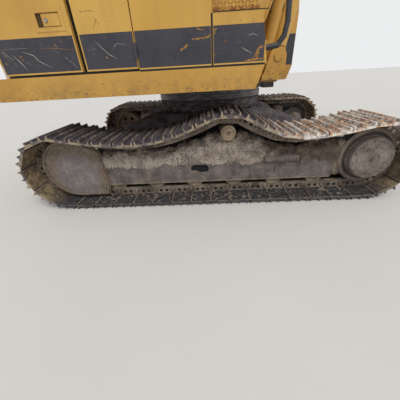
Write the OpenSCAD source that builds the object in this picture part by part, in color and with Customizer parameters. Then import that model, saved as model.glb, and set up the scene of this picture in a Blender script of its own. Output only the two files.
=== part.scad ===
// Crawler excavator, millimetres. The origin is on the ground under the swing axis,
// +X is the machine's front, +Y its left side (the cab's), +Z is up.

/* [Tracks] */
// Distance between the idler's and the sprocket's centres
wheelbase = 3010; // [2920:10:3060]
// Distance between the middles of the two tracks
gauge = 2110; // [2090:10:2170]
// Width of a track shoe
shoe_w = 600; // [560:10:620]
// Number of shoes in each track
shoe_count = 40; // [39:1:41]
// Radius of the chain's pins round the idler and the sprocket
pin_r = 294; // [288:1:300]
// Height of a grouser above its shoe's plate
grouser_h = 26; // [18:1:30]
// Height of the chain's links below and above the pins
link_half = 40; // [34:1:42]
// Thickness of a chain link's side rail
rail_t = 32; // [26:1:34]
// Place of the carrier roller ahead of the swing axis
carrier_x = 150; // [100:10:200]
// Height of the chain's pins above the ground where the top run crosses the carrier roller
crest_z = 780; // [770:1:790]
// Sag of the right track's slack top run below the wheels' tops
sag_right = 98; // [90:1:115]
// Sag of the left track's tight top run below the wheels' tops
sag_left = 8; // [6:1:16]
// Number of lower rollers on each side
roller_count = 6; // [5:1:7]

/* [Undercarriage] */
// Width of a track frame's box
frame_w = 230; // [220:2:236]
// Height of the frame's lower edge above the ground
frame_z0 = 187; // [180:1:195]
// Height of the frame's top above the ground
frame_z1 = 450; // [440:1:458]
// Radius of the idler's guard plate
guard_r = 300; // [290:1:306]
// Radius of the final drive's cover
drive_r = 200; // [180:1:206]
// Outer radius of the slew ring
ring_r = 650; // [620:5:680]
// Height of the joint between the slew ring's halves
ring_z = 900; // [890:1:910]

/* [Upper structure] */
// Height of the deck's lower edge above the ground
deck_z0 = 1030; // [1020:1:1040]
// Height of the deck's side beams
deck_h = 175; // [165:1:180]
// Width of the upper structure over its side doors
body_w = 2410; // [2380:10:2440]
// Tail radius of the counterweight
tail_r = 2270; // [2200:10:2350]
// Height of the house's roof above the ground
roof_z = 2030; // [1990:5:2080]
// Thickness of the side doors
door_t = 35; // [30:1:38]
// Height of the counterweight's top above the ground
weight_z1 = 2040; // [1980:5:2080]

/* [Cab] */
// Length of the cab
cab_l = 1540; // [1500:10:1560]
// Width of the cab
cab_w = 850; // [820:10:900]
// Height of the cab's roof above the ground
cab_z1 = 2900; // [2850:10:2960]
// Thickness of the cab's walls and posts
cab_t = 50; // [40:1:60]

/* [Boom and stick] */
// Length of the boom's lower part, from its foot pin to the bend
boom_low = 1600; // [1580:5:1620]
// Length of the boom's upper part, from the bend to the stick's pin
boom_up = 3300; // [3260:10:3340]
// Width of the boom's box
boom_w = 320; // [300:2:324]
// Length of the stick, from its pin on the boom to the bucket's pin
stick_l = 2830; // [2780:10:2880]
// Width of the stick's box
stick_w = 280; // [260:2:284]
// Width of the bucket
bucket_w = 1100; // [1000:10:1200]
// Outer radius of the boom cylinders' barrels
boom_barrel_r = 75; // [70:1:77]
// Outer radius of the stick cylinder's barrel
stick_barrel_r = 82; // [74:1:86]
// Outer radius of the bucket cylinder's barrel
bucket_barrel_r = 68; // [62:1:70]
// Radius of the boom cylinders' rods
boom_rod_r = 40; // [34:1:44]
// Radius of the stick cylinder's rod
stick_rod_r = 44; // [38:1:48]
// Radius of the bucket cylinder's rod
bucket_rod_r = 36; // [32:1:40]

/* [Hidden] */
$fn = 48;

// Fits, clearances and plain thicknesses
moving_gap = 5;
pin_gap = 1;
seat_gap = 0.3;
yellow = "#C39A4D";
charcoal = "#45434A";
earth = "#7A726C";
steel = "#5A5650";

// Places that follow from the sizes above
half_base = wheelbase / 2;
shoe_t = 12;
shoe_out = 52;
pin_low = grouser_h + shoe_t + shoe_out;
wheel_z = pin_low + pin_r;
side_y = body_w / 2;
deck_z1 = deck_z0 + deck_h;
plate_in = 190;
plate_t = 35;
plate_out = plate_in + plate_t;
rear_x = -1765;
box_x1 = 430;
cab_y0 = 410;
cab_y1 = cab_y0 + cab_w;
cab_x0 = -350;
cab_x1 = cab_x0 + cab_l;

// Pins of the working equipment, as [x, z] with the machine parked
function dir(a) = [cos(a), sin(a)];
low_angle = 74;
up_angle = 23;
stick_angle = -88;
boom_pin = [400, 1450];
bend_pt = boom_pin + boom_low * dir(low_angle);
stick_pin = bend_pt + boom_up * dir(up_angle);
bucket_pin = stick_pin + stick_l * dir(stick_angle);
boom_foot = [760, 1280];
boom_eye = [1100, 2800];
stick_foot = bend_pt + 700 * dir(up_angle) + 480 * dir(up_angle + 90);
stick_eye_angle = 76;
stick_eye = stick_pin + 620 * dir(stick_eye_angle);
function on_stick(b, s) = bucket_pin + s * dir(stick_angle + 180) + b * dir(stick_angle + 90);
bucket_foot_s = 2150;
bucket_foot = on_stick(360, bucket_foot_s);
rocker_pin = on_stick(50, 450);
rocker_l = 480;
rocker_end = rocker_pin + rocker_l * dir(33 + stick_angle + 90);
link_pin = rocker_end - (rocker_pin - bucket_pin);

// A flat outline in X and Z, made w wide about y
module across(y, w) {
    translate([0, y, 0]) rotate([90, 0, 0]) linear_extrude(w, center = true) children();
}

// A round pin or boss along Y
module pin(p, y, r, w) {
    translate([p[0], y, p[1]]) rotate([90, 0, 0]) cylinder(r = r, h = w, center = true);
}

// Places a child that lies along +X so that it starts at p and points to q
module aim(p, q, y) {
    translate([p[0], y, p[1]]) rotate([0, -atan2(q[1] - p[1], q[0] - p[0]), 0]) children();
}

// A rod along +X from x0 to x1
module bar_x(x0, x1, r) {
    translate([x0, 0, 0]) rotate([0, 90, 0]) cylinder(r = r, h = x1 - x0);
}

// The room for an eye at p and for the barrel that runs from it towards q
module clevis(p, q, r, corner, size, w) {
    across(0, w) translate(p) {
        circle(r);
        rotate(atan2(q[1] - p[1], q[0] - p[0])) translate(corner) square(size);
    }
}

// The four tangent points of two circles
function tangents(p, q, rp, rq) =
    let (d = norm(q - p), a = atan2(q[1] - p[1], q[0] - p[0]), b = acos((rp - rq) / d))
    [p + rp * dir(a + b), q + rq * dir(a + b), q + rq * dir(a - b), p + rp * dir(a - b)];

// A plate that joins two round ends
module strap(p, q, rp, rq, y, w) {
    across(y, w) polygon(tangents(p, q, rp, rq));
    pin(p, y, rp, w);
    pin(q, y, rq, w);
}

function mirror_y(right) = right ? -1 : 1;
function arc(c, r, a0, a1, n) = [for (i = [0 : n]) c + r * dir(a0 + (a1 - a0) * i / n)];

// The tracks. Their pins follow one closed line each: level below, round the sprocket,
// hanging along the top where they cross the carrier roller, and round the idler.
// Columns, for the slack right track and the tight left one: sag, the angle at which the
// chain leaves the wheels, and how far and how bent it falls ahead of and behind the roller
SLACK = [[sag_right, 14, 560, 1.6, 800, 1.75], [sag_left, 4, 900, 1.6, 900, 1.75]];
function sag_z(k) = wheel_z + pin_r - SLACK[k][0];
function fall(t, bend) = t < 1 ? pow(1 - t, bend) : 0;
function leave_x(k) = half_base - pin_r * sin(SLACK[k][1]);
function end_drop(k) = SLACK[k][0] - pin_r * (1 - cos(SLACK[k][1]));
function end_reach(k) = 2 * end_drop(k) / tan(SLACK[k][1]);
soft = 50;
function crest(d, k) =
    let (away = sqrt(d * d + soft * soft) - soft)
    d > 0 ? fall(away / SLACK[k][2], SLACK[k][3]) : fall(away / SLACK[k][4], SLACK[k][5]);
half_link = 99;
function top_z(x, k) =
    sag_z(k) + end_drop(k) * fall((leave_x(k) - abs(x)) / end_reach(k), 2)
    + (crest_z - sag_z(k)) * crest(x - carrier_x, k) / crest(half_link, k);
top_steps = 44;
pin_line = [for (k = [0, 1]) concat(
    [[0, pin_low]],
    arc([half_base, wheel_z], pin_r, -90, 90 + SLACK[k][1], 20),
    [for (i = [1 : top_steps - 1]) let (x = leave_x(k) * (1 - 2 * i / top_steps)) [x, top_z(x, k)]],
    arc([-half_base, wheel_z], pin_r, 90 - SLACK[k][1], 270, 20),
    [[0, pin_low]]
)];
last_pin = len(pin_line[0]) - 1;
function lengths(list, i = 0, s = 0) = i == len(list) ? [] :
    let (s1 = i == 0 ? 0 : s + norm(list[i] - list[i - 1])) concat([s1], lengths(list, i + 1, s1));
along = [for (k = [0, 1]) lengths(pin_line[k])];
pitch = [for (k = [0, 1]) along[k][last_pin] / shoe_count];
path_x = [for (k = [0, 1]) [for (i = [0 : last_pin]) [along[k][i], pin_line[k][i][0]]]];
path_z = [for (k = [0, 1]) [for (i = [0 : last_pin]) [along[k][i], pin_line[k][i][1]]]];
// One of each chain's links lies flat on top of the carrier roller
crest_s = [for (k = [0, 1]) [for (i = [22 : last_pin - 22]) let (a = pin_line[k][i], b = pin_line[k][i + 1])
    if (a[0] >= carrier_x && b[0] < carrier_x)
        along[k][i] + (a[0] - carrier_x) / (a[0] - b[0]) * (along[k][i + 1] - along[k][i])][0]];
crest_i = [for (k = [0, 1]) floor(crest_s[k] / pitch[k] - 0.5)];
phase = [for (k = [0, 1]) crest_s[k] - pitch[k] * (crest_i[k] + 0.5)];
function joint(i, k) =
    let (s = (i % shoe_count) * pitch[k] + phase[k]) [lookup(s, path_x[k]), lookup(s, path_z[k])];

// A point of shoe i, u along its link and v out from the pins
function on_shoe(i, u, v, k) =
    let (a = joint(i, k), b = joint(i + 1, k), t = (b - a) / norm(b - a)) a + u * t + v * [t[1], -t[0]];
function link_l(i, k) = norm(joint(i + 1, k) - joint(i, k));

// Outline of one shoe with its three grousers: columns are u from the link's ends
// (below 1 a share of its length) and v above the pins
shoe_gap = 7;
plate_v = shoe_out + shoe_t;
tip_v = plate_v + grouser_h;
function shoe_points(i, k) = let (l = link_l(i, k), m = l / 2) [
    for (p = [
        [shoe_gap, shoe_out - 2], [13, tip_v], [23, tip_v], [30, plate_v],
        [m - 10, plate_v], [m - 5, tip_v], [m + 5, tip_v], [m + 10, plate_v],
        [l - 30, plate_v], [l - 23, tip_v], [l - 13, tip_v], [l - shoe_gap, shoe_out - 2]
    ]) on_shoe(i, p[0], p[1], k)
];
function flat(lists) = [for (l = lists) for (p = l) p];
module ring_outline(outer, inner) {
    polygon(
        concat(outer, inner),
        paths = [[for (i = [0 : len(outer) - 1]) i], [for (i = [0 : len(inner) - 1]) len(outer) + i]]
    );
}
module track(right) {
    y = mirror_y(right) * gauge / 2;
    k = right ? 0 : 1;
    all = [for (i = [0 : shoe_count - 1]) i];
    shoes = flat([for (i = all) shoe_points(i, k)]);
    under = [for (i = all) on_shoe(i, 0, shoe_out - 8, k)];
    rail_out = [for (i = all) on_shoe(i, 0, shoe_out - 4, k)];
    rail_in = flat([for (i = all)
        [on_shoe(i, 18, -link_half, k), on_shoe(i, link_l(i, k) - 18, -link_half, k)]]);
    color(steel) {
        across(y, shoe_w) ring_outline(shoes, under);
        for (s = [-1, 1]) across(y + s * rail_y, rail_t) ring_outline(rail_out, rail_in);
    }
}
rail_y = 67;
rail_out_y = rail_y + rail_t / 2;
module right_track() track(true);
module left_track() track(false);

// Track frames: a box girder with side plates that hang down past the rollers
frame_x0 = -1150;
frame_x1 = 1200;
frame_wall = 16;
roller_tread = 74;
roller_flange = 92;
roller_z = pin_low + link_half + roller_tread + seat_gap;
frame_web_z = roller_z + roller_flange + 10;
fork_x = -half_base - 150;
slot_c = [-135, 322];
cover_x = [510, 845];
cover_z = 394;
cover_r = 42;
module frame_outline() {
    polygon([
        [frame_x0, frame_z0], [frame_x1, frame_z0 - 10], [frame_x1, frame_z1 - 4],
        [carrier_x + 300, frame_z1], [carrier_x - 300, frame_z1], [frame_x0, frame_z1 - 10]
    ]);
}
module track_frame(right) {
    m = mirror_y(right);
    y = m * gauge / 2;
    color(earth) difference() {
        union() {
            across(y, frame_w) frame_outline();
            for (s = [-1, 1]) across(y + s * (frame_w / 2 - 12), 24)
                polygon([[fork_x, 300], [frame_x0 + 20, 250], [frame_x0 + 20, 440], [fork_x, 430]]);
            across(y - m * (frame_w / 2 - drive_plate / 2), drive_plate) polygon([
                [frame_x1 - 1, frame_z0 + 20], [half_base, wheel_z - 170], [half_base, wheel_z + 170],
                [frame_x1 - 1, frame_z1 - 10]
            ]);
            pin([half_base, wheel_z], y - m * (frame_w / 2 - drive_plate / 2), 170, drive_plate);
        }
        pin([half_base, wheel_z], y - m * frame_w / 2, motor_r + pin_gap, 200);
        translate([(frame_x0 + frame_x1) / 2, y, 0])
            cube([frame_x1 - frame_x0 - 40, frame_w - 2 * frame_wall, 2 * frame_web_z], center = true);
        translate([frame_x1 - 60, y, 0]) cube([180, frame_w - 2 * frame_wall, 1200], center = true);
        across(y, frame_w + 10) for (x = [-50, 50]) translate([slot_c[0] + x, slot_c[1]]) circle(42);
        translate([slot_c[0], y, slot_c[1]]) cube([100, frame_w + 10, 84], center = true);
        across(y + m * frame_w / 2, 24) polygon([
            [cover_x[0], 262], [cover_x[0] + 120, 262], [cover_x[0] + 120, 310], [cover_x[1] + 30, 310],
            [cover_x[1] + 30, cover_z - cover_r + 4], [cover_x[0], cover_z - cover_r + 4]
        ]);
    }
    color(earth) intersection() {
        translate([cover_x[0], y + m * (frame_w / 2 - 20), cover_z]) rotate([0, 90, 0])
            cylinder(r = cover_r, h = cover_x[1] - cover_x[0]);
        translate([cover_x[0] - 10, m > 0 ? y + frame_w / 2 - 4 : y - frame_w / 2 - 60, 0]) cube([500, 64, 1000]);
    }
}
module right_track_frame() track_frame(true);
module left_track_frame() track_frame(false);

// A track roller: two flanged treads on a shaft that seats in the frame's side plates
module roller(tread, flange, half) {
    rotate([90, 0, 0]) {
        rotate_extrude() polygon([
            [0, -half], [36, -half], [36, -half + 2], [flange, -half + 2], [flange, -half + 10],
            [tread, -half + 13], [tread, -40], [tread - 12, -34], [tread - 12, 34], [tread, 40],
            [tread, half - 13], [flange, half - 10], [flange, half - 2], [36, half - 2],
            [36, half], [0, half]
        ]);
    }
}
roller_x0 = -1020;
roller_x1 = 1040;
module lower_rollers() {
    half = frame_w / 2 - frame_wall;
    color(steel) for (m = [-1, 1]) for (i = [0 : roller_count - 1])
        translate([roller_x0 + (roller_x1 - roller_x0) * i / (roller_count - 1), m * gauge / 2, roller_z])
            roller(roller_tread, roller_flange, half);
}
carrier_r = 70;
carrier_gap = 2;
carrier_z = crest_z - link_half - carrier_r - carrier_gap;
module carrier_rollers() {
    color(earth) for (m = [-1, 1]) {
        pin([carrier_x, carrier_z], m * gauge / 2, carrier_r, 250);
        pin([carrier_x, carrier_z], m * (gauge / 2 + 131), carrier_r - 22, 14);
        across(m * gauge / 2, 150) polygon([
            [carrier_x - 70, frame_z1], [carrier_x + 70, frame_z1],
            [carrier_x + 30, carrier_z - carrier_r + 8], [carrier_x - 30, carrier_z - carrier_r + 8]
        ]);
    }
}

// Idlers: a spoked wheel with a raised middle that runs between the chain's rails
chord_r = sqrt(pin_r * pin_r - pitch[0] * pitch[0] / 4);
tread_r = chord_r - link_half - 3;
module idlers() {
    color(steel) for (m = [-1, 1]) translate([-half_base, m * gauge / 2, wheel_z]) rotate([90, 0, 0])
        difference() {
            rotate_extrude() polygon([
                [0, -75], [60, -75], [60, -50], [tread_r - 60, -34], [tread_r - 40, -88],
                [tread_r, -88], [tread_r, -50], [tread_r + 22, -40], [tread_r + 22, 40],
                [tread_r, 50], [tread_r, 88], [tread_r - 40, 88], [tread_r - 60, 34],
                [60, 50], [60, 75], [0, 75]
            ]);
            for (a = [0 : 60 : 300]) rotate(a) translate([125, 0, 0]) cylinder(r = 30, h = 200, center = true);
        }
    color(earth) for (m = [-1, 1]) pin([-half_base, wheel_z], m * gauge / 2, 40, frame_w - 48 - 2 * seat_gap);
}

// Sprockets: a toothed ring between the chain's rails
tooth_count = 18;
sprocket_t = 50;
module sprockets() {
    root = pin_r - 34;
    color(steel) for (m = [-1, 1]) translate([half_base, m * gauge / 2, wheel_z]) rotate([90, 0, 0]) {
        linear_extrude(sprocket_t, center = true) difference() {
            polygon([for (i = [0 : tooth_count - 1]) let (a = i * 360 / tooth_count)
                for (p = [[root, -7], [root, 0], [pin_r + 4, 7], [pin_r + 4, 10]]) p[0] * dir(a + p[1])]);
            circle(hub_r + seat_gap);
            for (i = [0 : 5]) rotate(i * 60 + 10) translate([195, 0]) circle(22);
        }
    }
}

// Final drives: a stepped drum from the frame's end, through the sprocket, to the outer cover
drive_out = 90;
shoulder_r = 268;
drive_plate = 30;
motor_r = 105;
hub_r = 149;
module final_drives() {
    y_out = shoe_w / 2 - drive_out;
    y_in = -frame_w / 2 + drive_plate;
    color(earth) for (m = [-1, 1]) translate([half_base, m * gauge / 2, wheel_z]) rotate([-m * 90, 0, 0])
        rotate_extrude($fn = 72) polygon([
            [0, -260], [motor_r - 10, -260], [motor_r, -250], [motor_r, y_in], [hub_r, y_in],
            [hub_r, sprocket_t / 2], [drive_r - 6, sprocket_t / 2], [drive_r - 6, sprocket_t / 2 + 16],
            [hub_r + 8, sprocket_t / 2 + 22], [hub_r + 8, rail_out_y + 4], [shoulder_r, rail_out_y + 8],
            [shoulder_r, rail_out_y + 24], [shoulder_r - 20, rail_out_y + 32], [drive_r + 14, rail_out_y + 34],
            [drive_r - 10, rail_out_y + 42], [drive_r - 10, rail_out_y + 58], [drive_r, rail_out_y + 64],
            [drive_r, y_out - 20], [drive_r - 10, y_out - 10], [drive_r - 44, y_out - 6], [drive_r - 52, y_out],
            [56, y_out], [50, y_out - 6], [0, y_out - 6]
        ]);
}

// Idler guards: the D-shaped plates that close the frames' idler ends, round a middle of their own
guard_x1 = -1120;
guard_x = -1430;
module guard_outline(r) {
    c = [guard_x, wheel_z];
    low = asin((wheel_z - 85 - (guard_r - r)) / r);
    polygon(concat(
        arc(c, r, 78, 180 + low, 20),
        [[guard_x1 - (guard_r - r), 85 + (guard_r - r)], [guard_x1 + 30 - (guard_r - r), 200],
         [guard_x1 - (guard_r - r), 565 - (guard_r - r)]]
    ));
}
module idler_guards() {
    color(earth) for (m = [-1, 1]) {
        across(m * (gauge / 2 + frame_w / 2 + 12), 24) guard_outline(guard_r);
        across(m * (gauge / 2 + frame_w / 2 + 20), 40) difference() {
            guard_outline(guard_r - 8);
            guard_outline(guard_r - 26);
        }
    }
}

// Car body: the ring's pedestal and four broad legs that slope down to the track frames
leg_angle = 45;
leg_w = 460;
module leg(a) {
    rotate(a) rotate([90, 0, 0]) linear_extrude(leg_w, center = true) polygon([
        [0, 490], [600, 490], [1150, 250], [1600, 250], [1600, 430], [1362, 560], [1080, 690], [780, 768], [0, 780]
    ]);
}
// The legs stay between the track frames, and below the shoes of the top runs
module leg_room() {
    reach = gauge / 2 - frame_w / 2;
    inner = gauge / 2 - shoe_w / 2 - 20;
    under = sag_z(0) - 20;
    rotate([90, 0, 90]) linear_extrude(4000, center = true) polygon([
        [-reach, 0], [reach, 0], [reach, under - 15], [inner, under], [inner - 175, 790],
        [175 - inner, 790], [-inner, under], [-reach, under - 15]
    ]);
}
tow_x = 660;
tow_z = 600;
tow_t = 50;
tow_r = 30;
module car_body() {
    color(earth) {
        difference() {
            union() {
                translate([0, 0, 470]) cylinder(r = 600, h = 330);
                intersection() {
                    union() for (a = [leg_angle, 180 - leg_angle]) for (s = [-1, 1]) leg(s * a);
                    leg_room();
                }
            }
            translate([0, 0, 400]) cylinder(r = 250, h = 500);
        }
        for (s = [-1, 1]) translate([0, 0, tow_z - tow_t / 2]) linear_extrude(tow_t) difference() {
            union() {
                translate([s * (560 + tow_x) / 2, 0]) square([tow_x - 560, 180], center = true);
                translate([s * tow_x, 0]) circle(82);
            }
            translate([s * tow_x, 0]) circle(tow_r);
        }
    }
    color(charcoal) translate([0, 0, 799]) difference() {
        cylinder(r = ring_r - 10, h = ring_z - 799);
        cylinder(r = ring_r - 130, h = ring_z);
    }
}

// Main frame: two long plates that rise to the boom's foot, with its pins
module main_plate(y) {
    across(y, plate_t) polygon([
        [rear_x, deck_z0], [820, deck_z0], [900, deck_z1 - 20], [850, boom_foot[1] + 40],
        [boom_foot[0], boom_foot[1] + 95], [boom_pin[0] + 160, boom_pin[1] + 60],
        [boom_pin[0] - 165, boom_pin[1] + 40], [-60, 1290], [house_x1 + 20, deck_z1], [rear_x, deck_z1]
    ]);
    pin(boom_pin, y, 168, plate_t);
    pin(boom_foot, y, 95, plate_t);
}
eye_w = 90;
cyl_y = 310;
module main_frame() {
    ear = cyl_y + eye_w / 2 + 3;
    color(yellow) {
        difference() {
            union() {
                for (s = [-1, 1]) {
                    main_plate(s * (plate_in + plate_t / 2));
                    across(s * (ear + 13), 26) polygon([
                        [600, deck_z1 - 150], [860, deck_z1 - 150], [850, boom_foot[1]],
                        [boom_foot[0] - 95, boom_foot[1]]
                    ]);
                    pin(boom_foot, s * (ear + 13), 92, 26);
                    translate([730, s * (plate_out + ear + 26) / 2, deck_z1 - 120])
                        cube([260, ear + 26 - plate_out, 60], center = true);
                }
                translate([(rear_x + 820) / 2, 0, deck_z0 + 15])
                    cube([820 - rear_x - 10, 2 * plate_in + 2, 30], center = true);
                for (x = [-1100, -500, 60]) translate([x, 0, deck_z0 + deck_h / 2])
                    cube([24, 2 * plate_in + 2, deck_h], center = true);
                translate([780, 0, deck_z0 + 60]) cube([24, 2 * plate_in + 2, 120], center = true);
                translate([735, 0, deck_z0 - 30]) cube([130, 360, 62], center = true);
            }
            pin(boom_pin, 0, 55, 2000);
            pin(boom_foot, 0, 42, 2000);
        }
    }
    color(charcoal) translate([0, 0, ring_z]) rotate_extrude($fn = 96) polygon([
        [ring_r - 150, seat_gap], [ring_r - 40, seat_gap], [ring_r - 40, moving_gap],
        [ring_r, moving_gap], [ring_r, 60], [ring_r - 10, 60], [ring_r - 10, deck_z0 - ring_z],
        [ring_r - 150, deck_z0 - ring_z]
    ]);
    color(steel) {
        pin(boom_pin, 0, 55, 2 * plate_out + 30);
        for (s = [-1, 1]) pin(boom_foot, s * (plate_in + ear + 40) / 2, 42, ear + 40 - plate_in);
    }
}

// Side decks: a flat side beam and floor, closed below by belly pans set up between cross ribs
module deck(y0, y1, x0, x1, slant, ribs) {
    w = abs(y1 - y0);
    c = (y0 + y1) / 2;
    color(yellow) difference() {
        across(c, w) polygon([[x0, deck_z0], [x1 - slant, deck_z0], [x1, deck_z1], [x0, deck_z1]]);
        for (i = [0 : len(ribs) - 2])
            translate([ribs[i] + 12, c - w / 2 + 40, deck_z0 - 10])
                cube([ribs[i + 1] - ribs[i] - 24, w - 80, 10 + pan_up]);
    }
}
deck_slant = 60;
pan_up = 18;
module right_deck()
    deck(-side_y, -plate_out, rear_x, box_x1, deck_slant, [rear_x + 30, -900, -200, box_x1 - 90]);
neck_x = 480;
module left_deck() {
    deck(plate_out, side_y, rear_x, neck_x, 0, [rear_x + 30, -900, -200, neck_x - 30]);
    deck(cab_y0 - 15, side_y, neck_x - 1, cab_x1, deck_slant, [neck_x, cab_x1 - 90]);
}

// Counterweight: a block turned about a point behind the swing axis, cut flat in front
weight_c = -850;
module counterweight() {
    r = tail_r + weight_c;
    color(yellow) difference() {
        translate([weight_c, 0, 0]) rotate_extrude($fn = 180) polygon([
            [0, deck_z0], [r - 70, deck_z0], [r - 20, deck_z0 + 30], [r, deck_z0 + 90],
            [r, weight_z1 - 160], [r - 14, weight_z1 - 90], [r - 55, weight_z1 - 30],
            [r - 130, weight_z1], [0, weight_z1]
        ]);
        translate([rear_x, -2000, 0]) cube([4000, 4000, 4000]);
        for (s = [-1, 1]) translate([-1900, s * 650, weight_z1 - 60]) cylinder(r = 60, h = 100);
        translate([-tail_r - 10, -110, 1130]) cube([90, 220, 160]);
    }
    color(steel) for (s = [-1, 1]) translate([-1900, s * 650, weight_z1 - 40]) rotate([0, 90, 0])
        cylinder(r = 14, h = 119, center = true);
    color(steel) translate([-tail_r + 40, 0, 1130]) cylinder(r = 22, h = 160);
}

// Engine: one plain block at its place
engine_x1 = -940;
module engine() {
    color(charcoal) translate([engine_x1 - 620, -380, deck_z1]) cube([620, 960, 640]);
}

// House: sheet walls and roof round the engine and the pumps, open at its doors
house_x0 = -1700;
wall_t = 20;
wall_y = side_y - 40;
tank_x0 = -578;
tank_x1 = 14;
tank_y1 = -440;
house_x1 = -400;
door_z0 = deck_z1 + 18;
door_z1 = 1985;
door_1 = [-1685, -1045];
door_2 = [-1007, tank_x0 - 8];
door_3 = [-1685, -1000];
grille_x = [-975, -420];
hood_x = [-1660, -760];
hood_y = 640;
function house_plan(g) = [
    [house_x0 + g, -wall_y + g], [tank_x0 - 20 - g, -wall_y + g], [tank_x0 - 20 - g, tank_y1 + g],
    [house_x1 - g, tank_y1 + g], [house_x1 - g, wall_y - g], [house_x0 + g, wall_y - g]
];
module opening(x, y, z0, z1) {
    translate([x[0] + 40, y - 60, z0]) cube([x[1] - x[0] - 80, 120, z1 - z0]);
}
module engine_house() {
    color(yellow) {
        difference() {
            translate([0, 0, deck_z1]) linear_extrude(roof_z - roof_t - deck_z1) polygon(house_plan(0));
            translate([0, 0, deck_z1 - 1]) linear_extrude(roof_z) polygon(house_plan(wall_t));
            opening(door_1, -wall_y, deck_z1 + 45, 1940);
            opening(door_2, -wall_y, deck_z1 + 45, 1940);
            opening(door_3, wall_y, deck_z1 + 45, 1940);
            opening(grille_x, wall_y, deck_z1 + 90, 1900);
        }
        for (h = [rear_hinge, left_hinge]) for (z = hinge_zs) translate([h[0], h[1], z]) hinge_bracket(h[3]);
    }
}

// The house's roof: one plate with the hood's opening, eaves over the doors, and the hood's hinges
roof_t = 25;
module house_roof() {
    color(yellow) {
        difference() {
            translate([0, 0, roof_z - roof_t]) linear_extrude(roof_t) polygon(house_plan(0));
            translate([hood_x[0] + 40, -hood_y + 40, roof_z - 60])
                cube([hood_x[1] - hood_x[0] - 80, 2 * hood_y - 80, 100]);
        }
        for (s = [-1, 1]) translate([house_x0, s > 0 ? wall_y : -side_y, door_z1 + 5])
            cube([(s > 0 ? house_x1 : tank_x0 - 20) - house_x0, 40, roof_z - door_z1 - 5]);
        for (s = [-1, 1]) translate([hood_hinge[0], s * (hood_y - 120), hood_hinge[1]]) rotate([-90, 0, 0])
            hinge_bracket([0, hood_hinge[1] - roof_z + 1]);
    }
    color(charcoal) translate([cleaner_at[0], cleaner_at[1], roof_z - roof_t / 2]) rotate_extrude() polygon([
        [0, 0], [46, 0], [46, 150], [84, 158], [92, 176], [92, 236], [78, 262], [40, 276], [0, 280]
    ]);
}
// Middle of the air cleaner's bowl on the roof
cleaner_at = [-1340, -900];
hood_hinge = [hood_x[1] + 16, roof_z + 34];

// A hinge along +Z: the knuckle's leaf runs to the door, the bracket's ears hold the pin
hinge_pin_r = 7;
hinge_r = 12;
hinge_h = 100;
module hinge_leaf(leaf) {
    translate([0, 0, -hinge_h / 4]) difference() {
        union() {
            cylinder(r = hinge_r, h = hinge_h / 2, $fn = 32);
            translate([min(leaf[0], 0), min(leaf[1], 0), 0])
                cube([max(abs(leaf[0]), 6), max(abs(leaf[1]), 6), hinge_h / 2]);
        }
        translate([0, 0, -1]) cylinder(r = hinge_pin_r + seat_gap, h = hinge_h, $fn = 24);
    }
}
module hinge_bracket(arm) {
    ear = hinge_h / 4 - 2;
    translate([0, 0, -hinge_h / 2]) cylinder(r = hinge_pin_r, h = hinge_h, $fn = 24);
    for (z = [-hinge_h / 2, hinge_h / 2 - ear]) translate([0, 0, z]) {
        cylinder(r = hinge_r, h = ear, $fn = 32);
        translate([min(arm[0], 0) - (arm[0] == 0 ? 6 : 0), min(arm[1], 0) - (arm[1] == 0 ? 6 : 0), 0])
            cube([max(abs(arm[0]), 12), max(abs(arm[1]), 12), ear]);
    }
}
// Hinge lines as [x, y, the leaf's reach, the bracket's reach]
rear_hinge = [door_1[0] - 15, -side_y + 17, [18, 0], [0, 26]];
pump_hinge = [tank_x0 - 4, -side_y - hinge_r, [-14, 16], [12, 14]];
left_hinge = [door_3[0] - 15, side_y - 17, [18, 0], [0, -26]];
hinge_zs = [1340, 1860];

module side_door(x, s) {
    y = s > 0 ? side_y - door_t : -side_y;
    color(yellow) difference() {
        translate([x[0], y, door_z0]) cube([x[1] - x[0], door_t, door_z1 - door_z0]);
        translate([x[0] + 22, y + (s > 0 ? -1 : 14), door_z0 + 22])
            cube([x[1] - x[0] - 44, door_t - 13, door_z1 - door_z0 - 44]);
    }
}
module hinged_door(x, s, hinge) {
    side_door(x, s);
    color(yellow) for (z = hinge_zs) translate([hinge[0], hinge[1], z]) hinge_leaf(hinge[2]);
}
// The rear side door's latch sits in a pressed pocket, with a box behind it
latch_x = -1199;
latch_z = 1564;
latch_size = [212, 120];
latch_deep = 12;
module latch_block(grow, y0, y1) {
    translate([latch_x - latch_size[0] / 2 - grow, -side_y + y0, latch_z - latch_size[1] / 2 - grow])
        cube([latch_size[0] + 2 * grow, y1 - y0, latch_size[1] + 2 * grow]);
}
module rear_side_door() {
    color(yellow) difference() {
        union() {
            hinged_door(door_1, -1, rear_hinge);
            latch_block(12, 13, 28);
        }
        latch_block(0, -1, latch_deep);
    }
}
module pump_door() hinged_door(door_2, -1, pump_hinge);
module radiator_door() hinged_door(door_3, 1, left_hinge);
module side_grille() {
    color(charcoal) {
        translate([grille_x[0], wall_y, deck_z1 + 30]) difference() {
            cube([grille_x[1] - grille_x[0], 30, 730]);
            translate([40, -1, 40]) cube([grille_x[1] - grille_x[0] - 80, 40, 650]);
        }
        for (i = [0 : 11]) translate([grille_x[0] + 39, wall_y + 4, deck_z1 + 88 + i * 53])
            rotate([-30, 0, 0]) cube([grille_x[1] - grille_x[0] - 78, 6, 34]);
    }
}

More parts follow.
